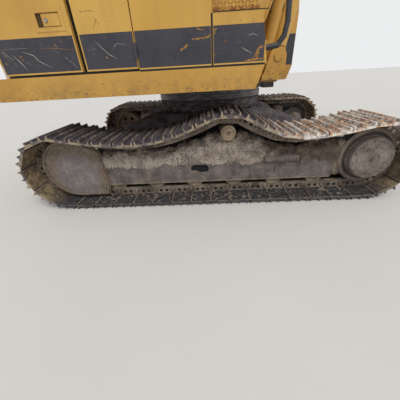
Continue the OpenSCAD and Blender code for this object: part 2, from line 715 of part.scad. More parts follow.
// Hood: a pressed lid over the engine, hinged along its front edge
module engine_hood() {
    l = hood_x[1] - hood_x[0];
    color(yellow) difference() {
        translate([hood_x[0], 0, 0]) across(0, 2 * hood_y) polygon([
            [0, roof_z + moving_gap], [l, roof_z + moving_gap], [l, roof_z + 60], [l - 60, roof_z + 90],
            [60, roof_z + 90], [0, roof_z + 50]
        ]);
        translate([hood_x[0] + 25, -hood_y + 25, roof_z]) cube([l - 50, 2 * hood_y - 50, 60]);
    }
    color(yellow) for (s = [-1, 1]) translate([hood_hinge[0], s * (hood_y - 120), hood_hinge[1]])
        rotate([-90, 0, 0]) hinge_leaf([-22, 0]);
}
module exhaust() {
    color(steel) {
        translate([-960, -900, roof_z]) cylinder(r = 110, h = 320);
        translate([-960, -900, roof_z + 319]) cylinder(r = 45, h = 180);
        translate([-960, -900, roof_z + 480]) rotate([0, -35, 0]) cylinder(r = 45, h = 160);
    }
}

// Tank: the closed fuel and oil tank behind the front side panel
module tank() {
    color(yellow) {
        translate([tank_x0, -side_y, deck_z1]) cube([tank_x1 - tank_x0 - 1, side_y + tank_y1, 1985 - deck_z1]);
        translate([-330, -700, 1984]) cylinder(r = 55, h = 50);
        translate([-120, -900, 1984]) cylinder(r = 70, h = 40);
        for (z = hinge_zs) translate([pump_hinge[0], pump_hinge[1], z]) hinge_bracket(pump_hinge[3]);
    }
}

// Tool box ahead of the tank: its lower box, and the step with a non-slip face above
box_top = 1541;
function box_face(z) = lookup(z, [[deck_z1, box_x1 + 12], [box_top, box_x1 - 44]]);
module tool_box() {
    z1 = box_top;
    color(yellow) {
        across(-(side_y + 450) / 2, side_y - 450) polygon([
            [tank_x1, deck_z1], [box_face(deck_z1), deck_z1], [box_face(z1), z1], [tank_x1, z1]
        ]);
        translate([tank_x1, -side_y + 25, z1 - 1]) cube([box_x1 - 60 - tank_x1, side_y - 475, 240]);
    }
    color(charcoal) translate([box_x1 - 150, -620, z1 + 239 + 90]) work_lamp(92);
}

// A work lamp that looks along +X from its own middle: a spun can on a foot that reaches down
lamp_r = 68;
module work_lamp(foot) {
    rotate([0, 90, 0]) rotate_extrude() polygon([
        [0, -62], [30, -60], [52, -44], [60, -20], [60, 22], [lamp_r, 26], [lamp_r, 44], [lamp_r - 10, 44],
        [lamp_r - 12, 34], [0, 34]
    ]);
    translate([-22, -16, -foot]) cube([36, 32, foot - 50]);
}

// Grab rail: one bent tube from the tool box's front up and back to the tank's top
module tube(p, q, r) {
    d = q - p;
    translate(p) rotate([0, acos(d[2] / norm(d)), atan2(d[1], d[0])]) cylinder(r = r, h = norm(d), $fn = 24);
}
module grab_rail() {
    r = 21;
    y = -side_y + 105;
    pts = [[box_face(1313 - r) + seat_gap, y, 1313], [540, y, 1330], [585, y, 1390], [600, y, 1480], [560, y, 2300],
           [480, y, 2380], [60, y, 2380], [-40, y, 2300], [-40, y, 1985]];
    color(charcoal) {
        for (i = [0 : len(pts) - 2]) tube(pts[i], pts[i + 1], r);
        for (i = [1 : len(pts) - 2]) translate(pts[i]) sphere(r = r + 0.8, $fn = 24);
    }
}

// Cab: posts, floor, roof and half-height walls, with window and door openings
sill_z = 1810;
head_z = cab_z1 - 130;
function cab_side() = [
    [cab_x0, deck_z1], [cab_x1, deck_z1], [cab_x1, 1780], [cab_x1 - 130, cab_z1 - 60],
    [cab_x1 - 190, cab_z1], [cab_x0 + 60, cab_z1], [cab_x0, cab_z1 - 60]
];
door_x = [20, 860];
module cab_shell() {
    t = cab_t;
    yc = (cab_y0 + cab_y1) / 2;
    color(yellow) difference() {
        across(yc, cab_w) polygon(cab_side());
        across(yc, cab_w - 2 * t) polygon([
            [cab_x0 + t, deck_z1 + 40], [cab_x1 - t, deck_z1 + 40], [cab_x1 - t, 1780],
            [cab_x1 - 130 - t, cab_z1 - 60 - t], [cab_x0 + t, cab_z1 - 60 - t]
        ]);
        // right windows
        for (x = [[cab_x0 + 90, 260], [320, cab_x1 - 210]])
            translate([x[0], cab_y0 - 10, sill_z]) cube([x[1] - x[0], 70, head_z - sill_z]);
        // left quarter window and the door's opening
        translate([cab_x0 + 90, cab_y1 - 60, sill_z]) cube([door_x[0] - cab_x0 - 160, 70, head_z - sill_z]);
        translate([door_x[0], cab_y1 - 60, deck_z1 + 40]) cube([door_x[1] - door_x[0], 70, head_z - deck_z1 - 20]);
        // windscreen and rear window
        translate([cab_x1 - 240, cab_y0 + 70, 1450]) cube([400, cab_w - 140, head_z - 1450]);
        translate([cab_x0 - 10, cab_y0 + 90, sill_z]) cube([80, cab_w - 180, head_z - sill_z]);
    }
    color(yellow) for (z = cab_hinge_zs) translate([cab_hinge[0], cab_hinge[1], z]) hinge_bracket([-14, -14]);
    color(charcoal) {
        rail = [[rail_x, cab_y1 - 20, 1420], [rail_x, cab_y1 + 60, 1450], [rail_x, cab_y1 + 60, 2150], [rail_x, cab_y1 - 20, 2180]];
        for (i = [0 : 2]) tube(rail[i], rail[i + 1], 14);
        for (i = [1 : 2]) translate(rail[i]) sphere(r = 14.8, $fn = 24);
    }
}
// Place of the handrail on the cab's front post
rail_x = 1010;
cab_hinge = [door_x[0], cab_y1 + hinge_r];
cab_hinge_zs = [1420, 2060, 2640];
glass_t = 6;
module cab_glass() {
    color("#9FB0B4", 0.4) {
        for (x = [[cab_x0 + 90, 260], [320, cab_x1 - 210]])
            translate([x[0] - 0, cab_y0 + 20, sill_z]) cube([x[1] - x[0], glass_t, head_z - sill_z]);
        translate([cab_x0 + 90, cab_y1 - 30, sill_z]) cube([door_x[0] - cab_x0 - 160, glass_t, head_z - sill_z]);
        translate([cab_x0 + 20, cab_y0 + 90, sill_z]) cube([glass_t, cab_w - 180, head_z - sill_z]);
        across((cab_y0 + cab_y1) / 2, cab_w - 140) polygon([
            [cab_x1 - 26, 1450], [cab_x1 - 20, 1450], [cab_x1 - 20, 1780],
            [cab_x1 - 20 - 130 * (head_z - 1780) / (cab_z1 - 1840), head_z],
            [cab_x1 - 26 - 130 * (head_z - 1780) / (cab_z1 - 1840), head_z], [cab_x1 - 26, 1780]
        ]);
    }
}
module cab_door() {
    g = 6;
    z0 = deck_z1 + 46;
    z1 = head_z + 12;
    y = cab_y1 - 44;
    color(yellow) difference() {
        translate([door_x[0] + g, y, z0]) cube([door_x[1] - door_x[0] - 2 * g, 44, z1 - z0]);
        translate([door_x[0] + 70, y - 1, sill_z]) cube([door_x[1] - door_x[0] - 140, 60, z1 - 60 - sill_z]);
        translate([door_x[0] + 60, y - 1, z0 + 50]) cube([door_x[1] - door_x[0] - 120, 26, sill_z - z0 - 110]);
    }
    color(yellow) for (z = cab_hinge_zs) translate([cab_hinge[0], cab_hinge[1], z]) hinge_leaf([14, -16]);
}
module door_glass() {
    color("#9FB0B4", 0.4) translate([door_x[0] + 70, cab_y1 - 26, sill_z])
        cube([door_x[1] - door_x[0] - 140, glass_t, head_z + 12 - 60 - sill_z]);
}
// Seat between its consoles, which stand near the cab's walls
seat_x = 120;
console_w = 100;
console_gap = 10;
seat_side_gap = 15;
arm_y = cab_w / 2 - cab_t - console_gap - console_w / 2;
seat_w = 2 * (arm_y - console_w / 2 - seat_side_gap);
module seat() {
    yc = (cab_y0 + cab_y1) / 2;
    color("#2E2C30") {
        translate([seat_x - 200, yc - seat_w / 2 + 50, deck_z1 + 40]) cube([380, seat_w - 100, 330]);
        translate([seat_x - 240, yc - seat_w / 2, deck_z1 + 370]) cube([480, seat_w, 110]);
        translate([seat_x - 250, yc - seat_w / 2 + 10, deck_z1 + 470]) rotate([0, -8, 0]) cube([110, seat_w - 20, 560]);
    }
}
module console() {
    yc = (cab_y0 + cab_y1) / 2;
    color(charcoal) {
        for (s = [-1, 1]) {
            translate([seat_x - 120, yc + s * arm_y - console_w / 2, deck_z1 + 40]) cube([420, console_w, 500]);
            translate([seat_x + 230, yc + s * arm_y, deck_z1 + 539]) cylinder(r = 14, h = 170, $fn = 24);
        }
        for (s = [-1, 1]) translate([cab_x1 - 420, yc + s * 90, deck_z1 + 40]) {
            translate([-15, -12, 0]) cube([30, 24, 420]);
            translate([-20, -50, 60]) cube([120, 100, 30]);
        }
    }
}

// Boom: a welded box that follows a bent middle line, with half its depth at named places
bend_r = 900;
bend_half = (low_angle - up_angle) / 2;
bend_trim = bend_r * tan(bend_half);
bend_c = bend_pt - bend_trim * dir(low_angle) + bend_r * dir(low_angle - 90);
bend_len = bend_r * (low_angle - up_angle) * PI / 180;
mid_low = boom_low - bend_trim;
mid_up = mid_low + bend_len;
boom_len = mid_up + boom_up - bend_trim;
function boom_mid(s) =
    s < mid_low ? boom_pin + s * dir(low_angle) :
    s < mid_up ? bend_c + bend_r * dir(low_angle + 90 - (s - mid_low) / bend_r * 180 / PI) :
    bend_pt + (bend_trim + s - mid_up) * dir(up_angle);
function boom_dir(s) =
    s < mid_low ? low_angle :
    s < mid_up ? low_angle - (s - mid_low) / bend_r * 180 / PI : up_angle;
// Columns: place along the boom, half its depth there
boom_depth = [[0, 140], [350, 190], [mid_low, 250], [mid_up, 255], [mid_up + 1300, 205], [boom_len, 125]];
function boom_edge(s, side, trim) =
    boom_mid(s) + side * (lookup(s, boom_depth) - trim) * dir(boom_dir(s) + 90);
fork_clear = 372;
boom_end = boom_len - fork_clear + 20;
boom_stops = concat(
    [60, 350], [for (i = [0 : 8]) mid_low + (mid_up - mid_low) * i / 8], [mid_up + 1300, boom_end]
);
function boom_outline(trim) = concat(
    [for (s = boom_stops) boom_edge(s, 1, trim)],
    [for (i = [len(boom_stops) - 1 : -1 : 0]) boom_edge(boom_stops[i], -1, trim)]
);
fork_t = 34;
// Middle of the work lamp on the boom's left side
lamp_at = boom_mid(mid_up + 420);
module boom() {
    fork_y = stick_w / 2 + moving_gap + 3 + fork_t / 2;
    color(yellow) difference() {
        union() {
            across(0, boom_w) polygon(boom_outline(0));
            for (side = [-1, 1]) across(0, boom_w + 48) polygon(concat(
                [for (s = boom_stops) boom_edge(s, side, 0)],
                [for (i = [len(boom_stops) - 1 : -1 : 0]) boom_edge(boom_stops[i], side, 16)]
            ));
            pin(boom_pin, 0, 140, 2 * plate_in - 4);
            for (m = [-1, 1]) {
                strap(boom_mid(boom_end - 40), stick_pin, 150, 125, m * fork_y, fork_t);
                pin(boom_eye, m * (boom_w / 4 + (cyl_y - eye_w / 2) / 2 - 0.5), 78, cyl_y - eye_w / 2 - boom_w / 2 - 1);
            }
            across(0, 190) polygon([
                boom_edge(mid_up + 20, 1, 40), stick_foot + [-80, -30], stick_foot + [80, 20],
                boom_edge(mid_up + 620, 1, 40)
            ]);
            pin(stick_foot, 0, 82, 190);
        }
        pin(boom_pin, 0, 55 + pin_gap, 2000);
        clevis(stick_foot, stick_eye, 130, [-20, -300], [900, 450], 110);
        translate([stick_pin[0], 0, stick_pin[1]]) rotate([90, 0, 0]) cylinder(r = fork_clear, h = stick_w + 2 * moving_gap + 6, center = true);
    }
    color(charcoal) translate([lamp_at[0], boom_w / 2 + 92, lamp_at[1]]) rotate([-90, 0, 0]) work_lamp(98);
    color(steel) {
        pin(stick_foot, 0, 35, 186);
        pin(stick_pin, 0, 45, 2 * fork_y + fork_t + 16);
    }
}

// A cylinder's barrel and rod, each along +X from its own eye
barrel_wall = 12;
gland_l = 80;
module barrel(start, l, r, eye_r, w, bore, rod_r) {
    difference() {
        union() {
            rotate([90, 0, 0]) cylinder(r = eye_r, h = w, center = true);
            bar_x(eye_r - 30, start + 5, w / 2 - 4);
            bar_x(start, l, r);
            bar_x(l - 90, l + 20, r + 8);
        }
        rotate([90, 0, 0]) cylinder(r = bore, h = w + 2 * r, center = true);
        bar_x(start + 15, l + 20 - gland_l, r - barrel_wall);
        bar_x(start + 20, l + 30, rod_r + seat_gap);
    }
}
module rod(x0, l, r, piston_r, eye_r, w, stub_r, stub_w) {
    bar_x(x0, x0 + 50, piston_r);
    bar_x(x0 + 49, l - eye_r + 20, r);
    translate([l, 0, 0]) rotate([90, 0, 0]) {
        cylinder(r = eye_r, h = w, center = true);
        cylinder(r = stub_r, h = stub_w, center = true);
    }
}
boom_len_cyl = norm(boom_eye - boom_foot);
module boom_barrels() {
    color(yellow) for (m = [-1, 1]) aim(boom_foot, boom_eye, m * cyl_y)
        barrel(105, 1000, boom_barrel_r - 8, 80, eye_w, 42 + pin_gap, boom_rod_r);
}
module boom_rods() {
    color(steel) for (m = [-1, 1]) aim(boom_foot, boom_eye, m * cyl_y)
        {
            rod(760, boom_len_cyl, boom_rod_r, boom_barrel_r - 8 - barrel_wall - seat_gap, 72, eye_w, 38, eye_w);
            pin([boom_len_cyl, 0], m * (eye_w / 2 + 5), 38, 12);
        }
}
stick_len_cyl = norm(stick_eye - stick_foot);
module stick_barrel() {
    color(yellow) aim(stick_foot, stick_eye, 0) barrel(122, 1800, stick_barrel_r - 8, 78, 100, 35 + pin_gap, stick_rod_r);
}
module stick_rod() {
    color(steel) aim(stick_foot, stick_eye, 0) rod(1500, stick_len_cyl, stick_rod_r, stick_barrel_r - 8 - barrel_wall - seat_gap, 76, 100, 36, 108);
}
bucket_len_cyl = norm(rocker_end - bucket_foot);
module bucket_barrel() {
    color(yellow) aim(bucket_foot, rocker_end, 0) barrel(98, 1120, bucket_barrel_r - 8, 66, 84, 30 + pin_gap, bucket_rod_r);
}
module bucket_rod() {
    color(steel) aim(bucket_foot, rocker_end, 0) rod(320, bucket_len_cyl, bucket_rod_r, bucket_barrel_r - 8 - barrel_wall - seat_gap, 62, 84, 34, 92);
}

// Stick: a welded box, deepest at its pin, with ears for both cylinders
module stick() {
    ear_w = 180;
    color(yellow) difference() {
        union() {
            across(0, stick_w) polygon([
                on_stick(-112, 60), on_stick(112, 60), on_stick(150, 1000), on_stick(215, stick_l - 350),
                on_stick(235, stick_l + 60), on_stick(150, stick_l + 300), on_stick(-30, stick_l + 300),
                on_stick(-205, stick_l + 120), on_stick(-180, stick_l - 200), on_stick(-130, 900)
            ]);
            pin(bucket_pin, 0, 118, stick_w);
            strap(stick_pin + 180 * dir(stick_eye_angle), stick_eye, 104, 84, 0, ear_w);
            strap(on_stick(150, bucket_foot_s + 40), bucket_foot, 170, 78, 0, ear_w);
        }
        pin(stick_pin, 0, 45 + pin_gap, 2000);
        pin(bucket_pin, 0, 40 + pin_gap, 2000);
        pin(rocker_pin, 0, 34 + pin_gap, 2000);
        pin(stick_eye, 0, 300, 112);
        clevis(bucket_foot, rocker_end, 125, [0, -150], [600, 300], 94);
    }
    color(steel) pin(bucket_foot, 0, 30, ear_w);
}

// Rocker: two side links on the stick, joined at their outer ends by a cross boss
module rocker() {
    y = stick_w / 2 + moving_gap + 14;
    color(yellow) for (m = [-1, 1]) {
        difference() {
            strap(rocker_pin, rocker_end, 66, 62, m * y, 26);
            pin(rocker_end, m * y, 30, 100);
        }
    }
    color(steel) {
        pin(rocker_pin, 0, 34, 2 * y + 46);
        for (m = [-1, 1]) pin(rocker_end, m * (y + 26 + 46.5) / 2, 30, y + 26 - 46.5);
    }
}

// Bucket link: an H of two bars from the rocker's ends to the bucket's ears
module bucket_link() {
    color(yellow) for (m = [-1, 1]) difference() {
        union() {
            strap(rocker_end, link_pin, 60, 66, m * 115, 40);
            if (m == 1) {
                p = (rocker_end + link_pin) / 2;
                pin(p, 0, 30, 230);
            }
        }
        pin(rocker_end, m * 115, 30 + pin_gap, 100);
        pin(link_pin, m * 115, 32 + pin_gap, 100);
    }
}

// Bucket: a curved shell between two side plates, with ears for its two pins
function on_bucket(x, z) = bucket_pin + [x, z];
shell_t = 22;
mouth_top = [-150, -205];
lip = [-10, -1240];
function bucket_back(g) = concat(
    [mouth_top + [0, 0], [400 - g * 0.6, -70 - g]],
    arc([330, -470], 320 - g, 62, -20, 8),
    arc([-60, -500], 700 - g, -24, -72, 6),
    [lip + [g * 0.2, 0]]
);
module bucket() {
    side_w = 26;
    ear_y = stick_w / 2 + moving_gap + 3 + 16;
    color(yellow) difference() {
        union() {
            across(0, bucket_w) polygon([for (p = bucket_back(0)) bucket_pin + p]);
            for (m = [-1, 1]) {
                strap(bucket_pin, link_pin, 100, 84, m * ear_y, 32);
                across(m * ear_y, 32) polygon([
                    on_bucket(-100, 0), link_pin + [84, 0], on_bucket(470, -140), on_bucket(-130, -215)
                ]);
            }
        }
        across(0, bucket_w - 2 * side_w) polygon(concat(
            [bucket_pin + mouth_top + [-60, -shell_t]], [for (p = bucket_back(shell_t)) bucket_pin + p + [0, p == mouth_top ? -shell_t : 0]],
            [bucket_pin + lip + [-80, 40]]
        ));
        pin(bucket_pin, 0, 40, 2000);
        pin(link_pin, 0, 32, 2000);
    }
    color(steel) {
        pin(bucket_pin, 0, 40, 2 * ear_y + 50);
        pin(link_pin, 0, 32, 2 * ear_y + 50);
    }
}
module bucket_teeth() {
    n = 5;
    tip = bucket_pin + [-70, -1400];
    root = bucket_pin + lip;
    color(steel) for (i = [0 : n - 1]) {
        y = (i / (n - 1) - 0.5) * (bucket_w - 110);
        across(y, 84) polygon([
            root + [-14, 6], tip + [-6, 4], tip + [6, 0], root + [46, 10], root + [30, -0.3], root + [-4, -0.3]
        ]);
    }
}

car_body();
right_track_frame();
left_track_frame();
right_track();
left_track();
lower_rollers();
carrier_rollers();
idlers();
sprockets();
final_drives();
idler_guards();
main_frame();
right_deck();
left_deck();
counterweight();
engine();
engine_house();
house_roof();
engine_hood();
exhaust();
rear_side_door();
pump_door();
radiator_door();
side_grille();
tank();
tool_box();
grab_rail();
cab_shell();
cab_glass();
cab_door();
door_glass();
seat();
console();
boom();
boom_barrels();
boom_rods();
stick_barrel();
stick_rod();
stick();
bucket_barrel();
bucket_rod();
rocker();
bucket_link();
bucket();
bucket_teeth();
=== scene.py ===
# %% [markdown]
# # A crawler excavator, dressed
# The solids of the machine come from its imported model, in metres: +X is the front, +Y the
# machine's left, +Z up, and the origin is on the ground under the swing axis. This notebook
# gives them their paint, steel and mud, and adds what a workshop would bolt on: latches,
# bolts, pipes, chain links, seat cushions. Nothing of the solids is moved.

# %% Load the machine
import bpy, bmesh, math
from mathutils import Matrix, Vector, noise


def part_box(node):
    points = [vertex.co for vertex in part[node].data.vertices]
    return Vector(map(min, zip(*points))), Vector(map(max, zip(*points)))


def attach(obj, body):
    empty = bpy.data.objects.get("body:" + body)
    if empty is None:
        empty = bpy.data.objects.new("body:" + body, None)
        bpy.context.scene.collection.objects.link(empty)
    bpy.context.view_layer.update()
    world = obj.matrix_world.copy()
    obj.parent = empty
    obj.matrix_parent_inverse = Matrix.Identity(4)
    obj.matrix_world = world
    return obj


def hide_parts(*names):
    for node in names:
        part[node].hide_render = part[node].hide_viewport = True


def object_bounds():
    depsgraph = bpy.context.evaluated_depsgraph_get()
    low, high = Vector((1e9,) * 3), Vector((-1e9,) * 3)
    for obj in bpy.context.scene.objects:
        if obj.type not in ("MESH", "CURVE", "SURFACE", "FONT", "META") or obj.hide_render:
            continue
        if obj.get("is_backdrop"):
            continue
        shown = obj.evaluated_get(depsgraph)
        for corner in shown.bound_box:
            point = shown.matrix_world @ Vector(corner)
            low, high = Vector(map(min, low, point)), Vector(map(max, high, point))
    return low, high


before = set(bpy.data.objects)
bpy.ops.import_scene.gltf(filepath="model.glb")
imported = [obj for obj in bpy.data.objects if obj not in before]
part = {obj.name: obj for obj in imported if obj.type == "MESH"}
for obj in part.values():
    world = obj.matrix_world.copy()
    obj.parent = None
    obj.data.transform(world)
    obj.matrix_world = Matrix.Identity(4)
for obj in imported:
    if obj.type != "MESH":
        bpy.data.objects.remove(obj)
cad_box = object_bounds()

# %% [markdown]
# ## The camera's place
# The picture was taken with a wide lens, from a bit over a metre above the ground, close to the
# machine's right side and looking down at it. Place and lens were worked out from the edges that
# can be read in it, such as the deck's lower edge, the doors' edges and the wheels.

# %% Camera
picture_px, sensor_mm = 400, 36.0
lens_px = 216.774  # the focal length, counted in the picture's pixels
camera_at = Vector((-0.0557, -3.2474, 1.1681))
right = Vector((0.9986, 0.0170, -0.0510)).normalized()
ahead = Vector((-0.0405, 0.8621, -0.5052)).normalized()
up = right.cross(ahead).normalized()

lens = bpy.data.cameras.new("site_camera")
lens.sensor_width = sensor_mm
lens.lens = sensor_mm * lens_px / picture_px
lens.clip_start, lens.clip_end = 0.05, 200
site_camera = bpy.data.objects.new("site_camera", lens)
scene = bpy.context.scene
scene.collection.objects.link(site_camera)
turn = Matrix((right, up, -ahead)).transposed().to_4x4()
site_camera.matrix_world = Matrix.Translation(camera_at) @ turn
bpy.context.scene.camera = site_camera


def seen_at(px, py, y):
    """The point on the upright plane Y = y that shows at a pixel of the 400 x 400 picture."""
    ray = ahead * lens_px + right * (px - picture_px / 2) - up * (py - picture_px / 2)
    return camera_at + ray * ((y - camera_at.y) / ray.y)


print("lens mm", round(lens.lens, 2), "latch near", tuple(round(c, 2) for c in seen_at(48, 18, -1.205)))

# %% [markdown]
# ## Soft light and a pale floor
# An even pale sky does most of the lighting, because under it a colour renders about as it is
# written. One broad soft sun from the upper right gives the forms their sides. Rays that come
# from the camera, from a mirror or through glass see a slightly paler sky than the paint does.

# %% One function for nodes, one for colours
scene.view_settings.view_transform = "Standard"


def linear(hex_colour):
    """An sRGB hex colour as the linear RGBA that a shader wants."""
    parts = [int(hex_colour[i : i + 2], 16) / 255 for i in (1, 3, 5)]
    return [c / 12.92 if c <= 0.04045 else ((c + 0.055) / 1.055) ** 2.4 for c in parts] + [1.0]


def add(tree, kind, settings=(), links=()):
    """Adds one node, sets its properties or sockets by name or number, and links its inputs."""
    node = tree.nodes.new("ShaderNode" + kind)
    for name, value in dict(settings).items():
        if isinstance(name, int) or name in node.inputs:
            node.inputs[name].default_value = value
        else:
            setattr(node, name, value)
    for name, source in dict(links).items():
        tree.links.new(source if hasattr(source, "is_output") else source.outputs[0], node.inputs[name])
    return node


print("mid grey is", round(linear("#808080")[0], 3), "in linear light")

# %% Sky and sun
sky_light, backdrop_light, sun_light, sun_width = 0.62, 1.0, 1.35, 24

sky = bpy.data.worlds.new("pale_sky")
scene.world = sky
sky.use_nodes = True
sky.node_tree.nodes.clear()
tree = sky.node_tree
path = add(tree, "LightPath")
seen = path.outputs["Is Camera Ray"]
for ray in ("Is Glossy Ray", "Is Transmission Ray"):
    seen = add(tree, "Math", {"operation": "MAXIMUM"}, {0: seen, 1: path.outputs[ray]})
lamp = add(tree, "Background", {"Color": linear("#F4F6FA"), "Strength": sky_light})
backdrop = add(tree, "Background", {"Color": linear("#ECEDEE"), "Strength": backdrop_light})
both = add(tree, "MixShader", {}, {0: seen, 1: lamp, 2: backdrop})
add(tree, "OutputWorld", {}, {"Surface": both})

sun = bpy.data.lights.new("soft_sun", "SUN")
sun.energy, sun.angle = sun_light, math.radians(sun_width)
sun.color = (1.0, 0.97, 0.92)
sun_lamp = bpy.data.objects.new("soft_sun", sun)
sun_lamp.rotation_euler = Vector((-0.55, 0.95, -1.35)).to_track_quat("-Z", "Y").to_euler()
scene.collection.objects.link(sun_lamp)
print("sky", sky_light, "sun", sun_light, "over", sun_width, "degrees")

# %% [markdown]
# ## How a finish is built up
# Each finish starts from a bare shader. Layers of colour are then laid over each other, each where
# a pattern says so, as paint, dust and mud lie over steel. Patterns are made in the part's own
# coordinates, so they stay on it when it moves, and their scales are real sizes in millimetres.

# %% Patterns shared by the finishes
def finish_of(name):
    """A material with its own output and shader, and the part's coordinates to lay its patterns in."""
    made = bpy.data.materials.new(name)
    made.use_nodes = True
    tree = made.node_tree
    tree.nodes.clear()
    shader = add(tree, "BsdfPrincipled")
    add(tree, "OutputMaterial", {}, {"Surface": shader})
    return made, tree, shader, add(tree, "TexCoord").outputs["Object"]


def surfaced(tree, shader, coat, sockets, layers=(), round_mm=2.0):
    """Gives the shader its colour, its other values by socket, and bumps on a slightly rounded edge.
    Each layer is a pattern and its depth in mm."""
    tree.links.new(coat, shader.inputs["Base Color"])
    for socket, value in sockets.items():
        if isinstance(value, float):
            shader.inputs[socket].default_value = value
        else:
            tree.links.new(value.outputs[0], shader.inputs[socket])
    if layers:
        below = add(tree, "Bevel", {"samples": 4, "Radius": round_mm / 1000})
        for pattern, depth_mm in layers:
            depth = {"Strength": 1.0, "Distance": depth_mm / 1000}
            below = add(tree, "Bump", depth, {"Height": pattern, "Normal": below})
        tree.links.new(below.outputs["Normal"], shader.inputs["Normal"])


def blotches(tree, place, size_mm, low, high, detail=4.0, stretch=(1, 1, 1)):
    """Noise with blotches of about size_mm, cut to 0 below low and 1 above high."""
    scaled = add(tree, "Mapping", {"Scale": [1000 / size_mm * s for s in stretch]}, {"Vector": place})
    cloud = add(tree, "TexNoise", {"Scale": 1.0, "Detail": detail}, {"Vector": scaled})
    return add(tree, "MapRange", {1: low, 2: high}, {0: cloud})


def worn_edge(tree, reach_mm):
    """1 on the outer edges within reach_mm, 0 on flat faces: the rounded normal leaves the true one there."""
    rounded = add(tree, "Bevel", {"samples": 4, "Radius": reach_mm / 1000})
    true = add(tree, "NewGeometry").outputs["Normal"]
    same = add(tree, "VectorMath", {"operation": "DOT_PRODUCT"}, {0: rounded, 1: true}).outputs["Value"]
    on_flat, on_edge = 0.995, 0.86  # how far the two normals agree
    return add(tree, "MapRange", {1: on_flat, 2: on_edge, 3: 0.0, 4: 1.0}, {0: same})


def tinted(tree, share, under, over, strength=1.0):
    """over laid on under where share is 1. Both are colours as hex, or sockets."""
    if strength != 1.0:
        share = add(tree, "Math", {"operation": "MULTIPLY", 1: strength}, {0: share})
    mix = add(tree, "Mix", {"data_type": "RGBA"}, {0: share})
    for i, colour in ((6, under), (7, over)):
        if isinstance(colour, str):
            mix.inputs[i].default_value = linear(colour)
        else:
            tree.links.new(colour, mix.inputs[i])
    return mix.outputs[2]


print("patterns: blotches, worn edges; tinted lays them over each other")


# %% Masks: where a layer may lie
def overlap(tree, *masks):
    """1 only where every one of the masks is 1."""
    shared = masks[0]
    for mask in masks[1:]:
        shared = add(tree, "Math", {"operation": "MULTIPLY"}, {0: shared, 1: mask})
    return shared


def inside(tree, place, x0, x1, z0, z1, y0, y1):
    """1 inside a box of the part's own coordinates."""
    axes = add(tree, "SeparateXYZ", {}, {0: place}).outputs
    return overlap(tree, *[
        add(tree, "Math", {"operation": "COMPARE", 1: (low + high) / 2, 2: (high - low) / 2}, {0: axis})
        for axis, low, high in zip(axes, (x0, y0, z0), (x1, y1, z1))
    ])


print("masks: overlap, inside")

# %% Floor
# Pale screed, laid with a float: matt, with clouds a bit over a metre wide.
screed, tree, shader, place = finish_of("pale_concrete_screed")
cloud = add(tree, "TexNoise", {"Scale": 1000 / 1250, "Detail": 5.0}, {"Vector": place})
surfaced(tree, shader, tinted(tree, cloud, "#DEDCD7", "#E6E4E0"), {"Roughness": 0.85, "Specular IOR Level": 0.2})

reach, under_shoes = 60, -0.001
floor_mesh = bpy.data.meshes.new("floor")
corners = [(x * reach, y * reach, under_shoes) for x, y in ((-1, -1), (1, -1), (1, 1), (-1, 1))]
floor_mesh.from_pydata(corners, [], [(0, 1, 2, 3)])
floor = bpy.data.objects.new("floor", floor_mesh)
floor_mesh.materials.append(screed)
scene.collection.objects.link(floor)
floor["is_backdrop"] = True
print("floor", 2 * reach, "m wide")

# %% [markdown]
# ## Yellow enamel over steel sheet
# The panels are pressed and folded sheet, sprayed with a two-pack enamel that years outdoors
# have faded. What the eye sees: a soft sheen, slow changes between a deeper and a sun-bleached
# yellow, faint runs of dirt down the sides, worn and rusty sheet edges, and mud thrown up along
# the lower edges. It could be one colour with a dirt picture over it. Here each of those is a
# pattern of its own. Along the doors runs a charcoal band, dusty and scratched to hairlines.

# %% Faded yellow enamel
def ring_steel(tree, place):
    """The slew ring's dark steel, with lighter streaks that run level round it."""
    level_streaks = blotches(tree, place, 90, 0.44, 0.70, 6.0, stretch=(1, 1, 9))
    return tinted(tree, level_streaks, "#3A3536", "#7B7678")


def charcoal_film(tree, place):
    """The band's film: dust in it, and slanting hairlines where branches went along."""
    film = tinted(tree, blotches(tree, place, 160, 0.3, 0.7, 5.0), "#302F37", "#403E46")
    film = tinted(tree, blotches(tree, place, 30, 0.6, 0.8, 5.0, stretch=(1, 1, 0.3)), film, "#5E5A5C", 0.5)
    slant = add(tree, "Mapping", {"Rotation": (0, math.radians(-38), 0), "Scale": (2.2, 2.2, 55)}, {"Vector": place})
    hair = add(tree, "TexNoise", {"Scale": 1.0, "Detail": 1.0}, {"Vector": slant})
    hair = add(tree, "Math", {"operation": "COMPARE", 1: 0.5, 2: 0.0015}, {0: hair})
    return tinted(tree, overlap(tree, hair, blotches(tree, place, 120, 0.5, 0.56)), film, "#8F877C", 0.55)


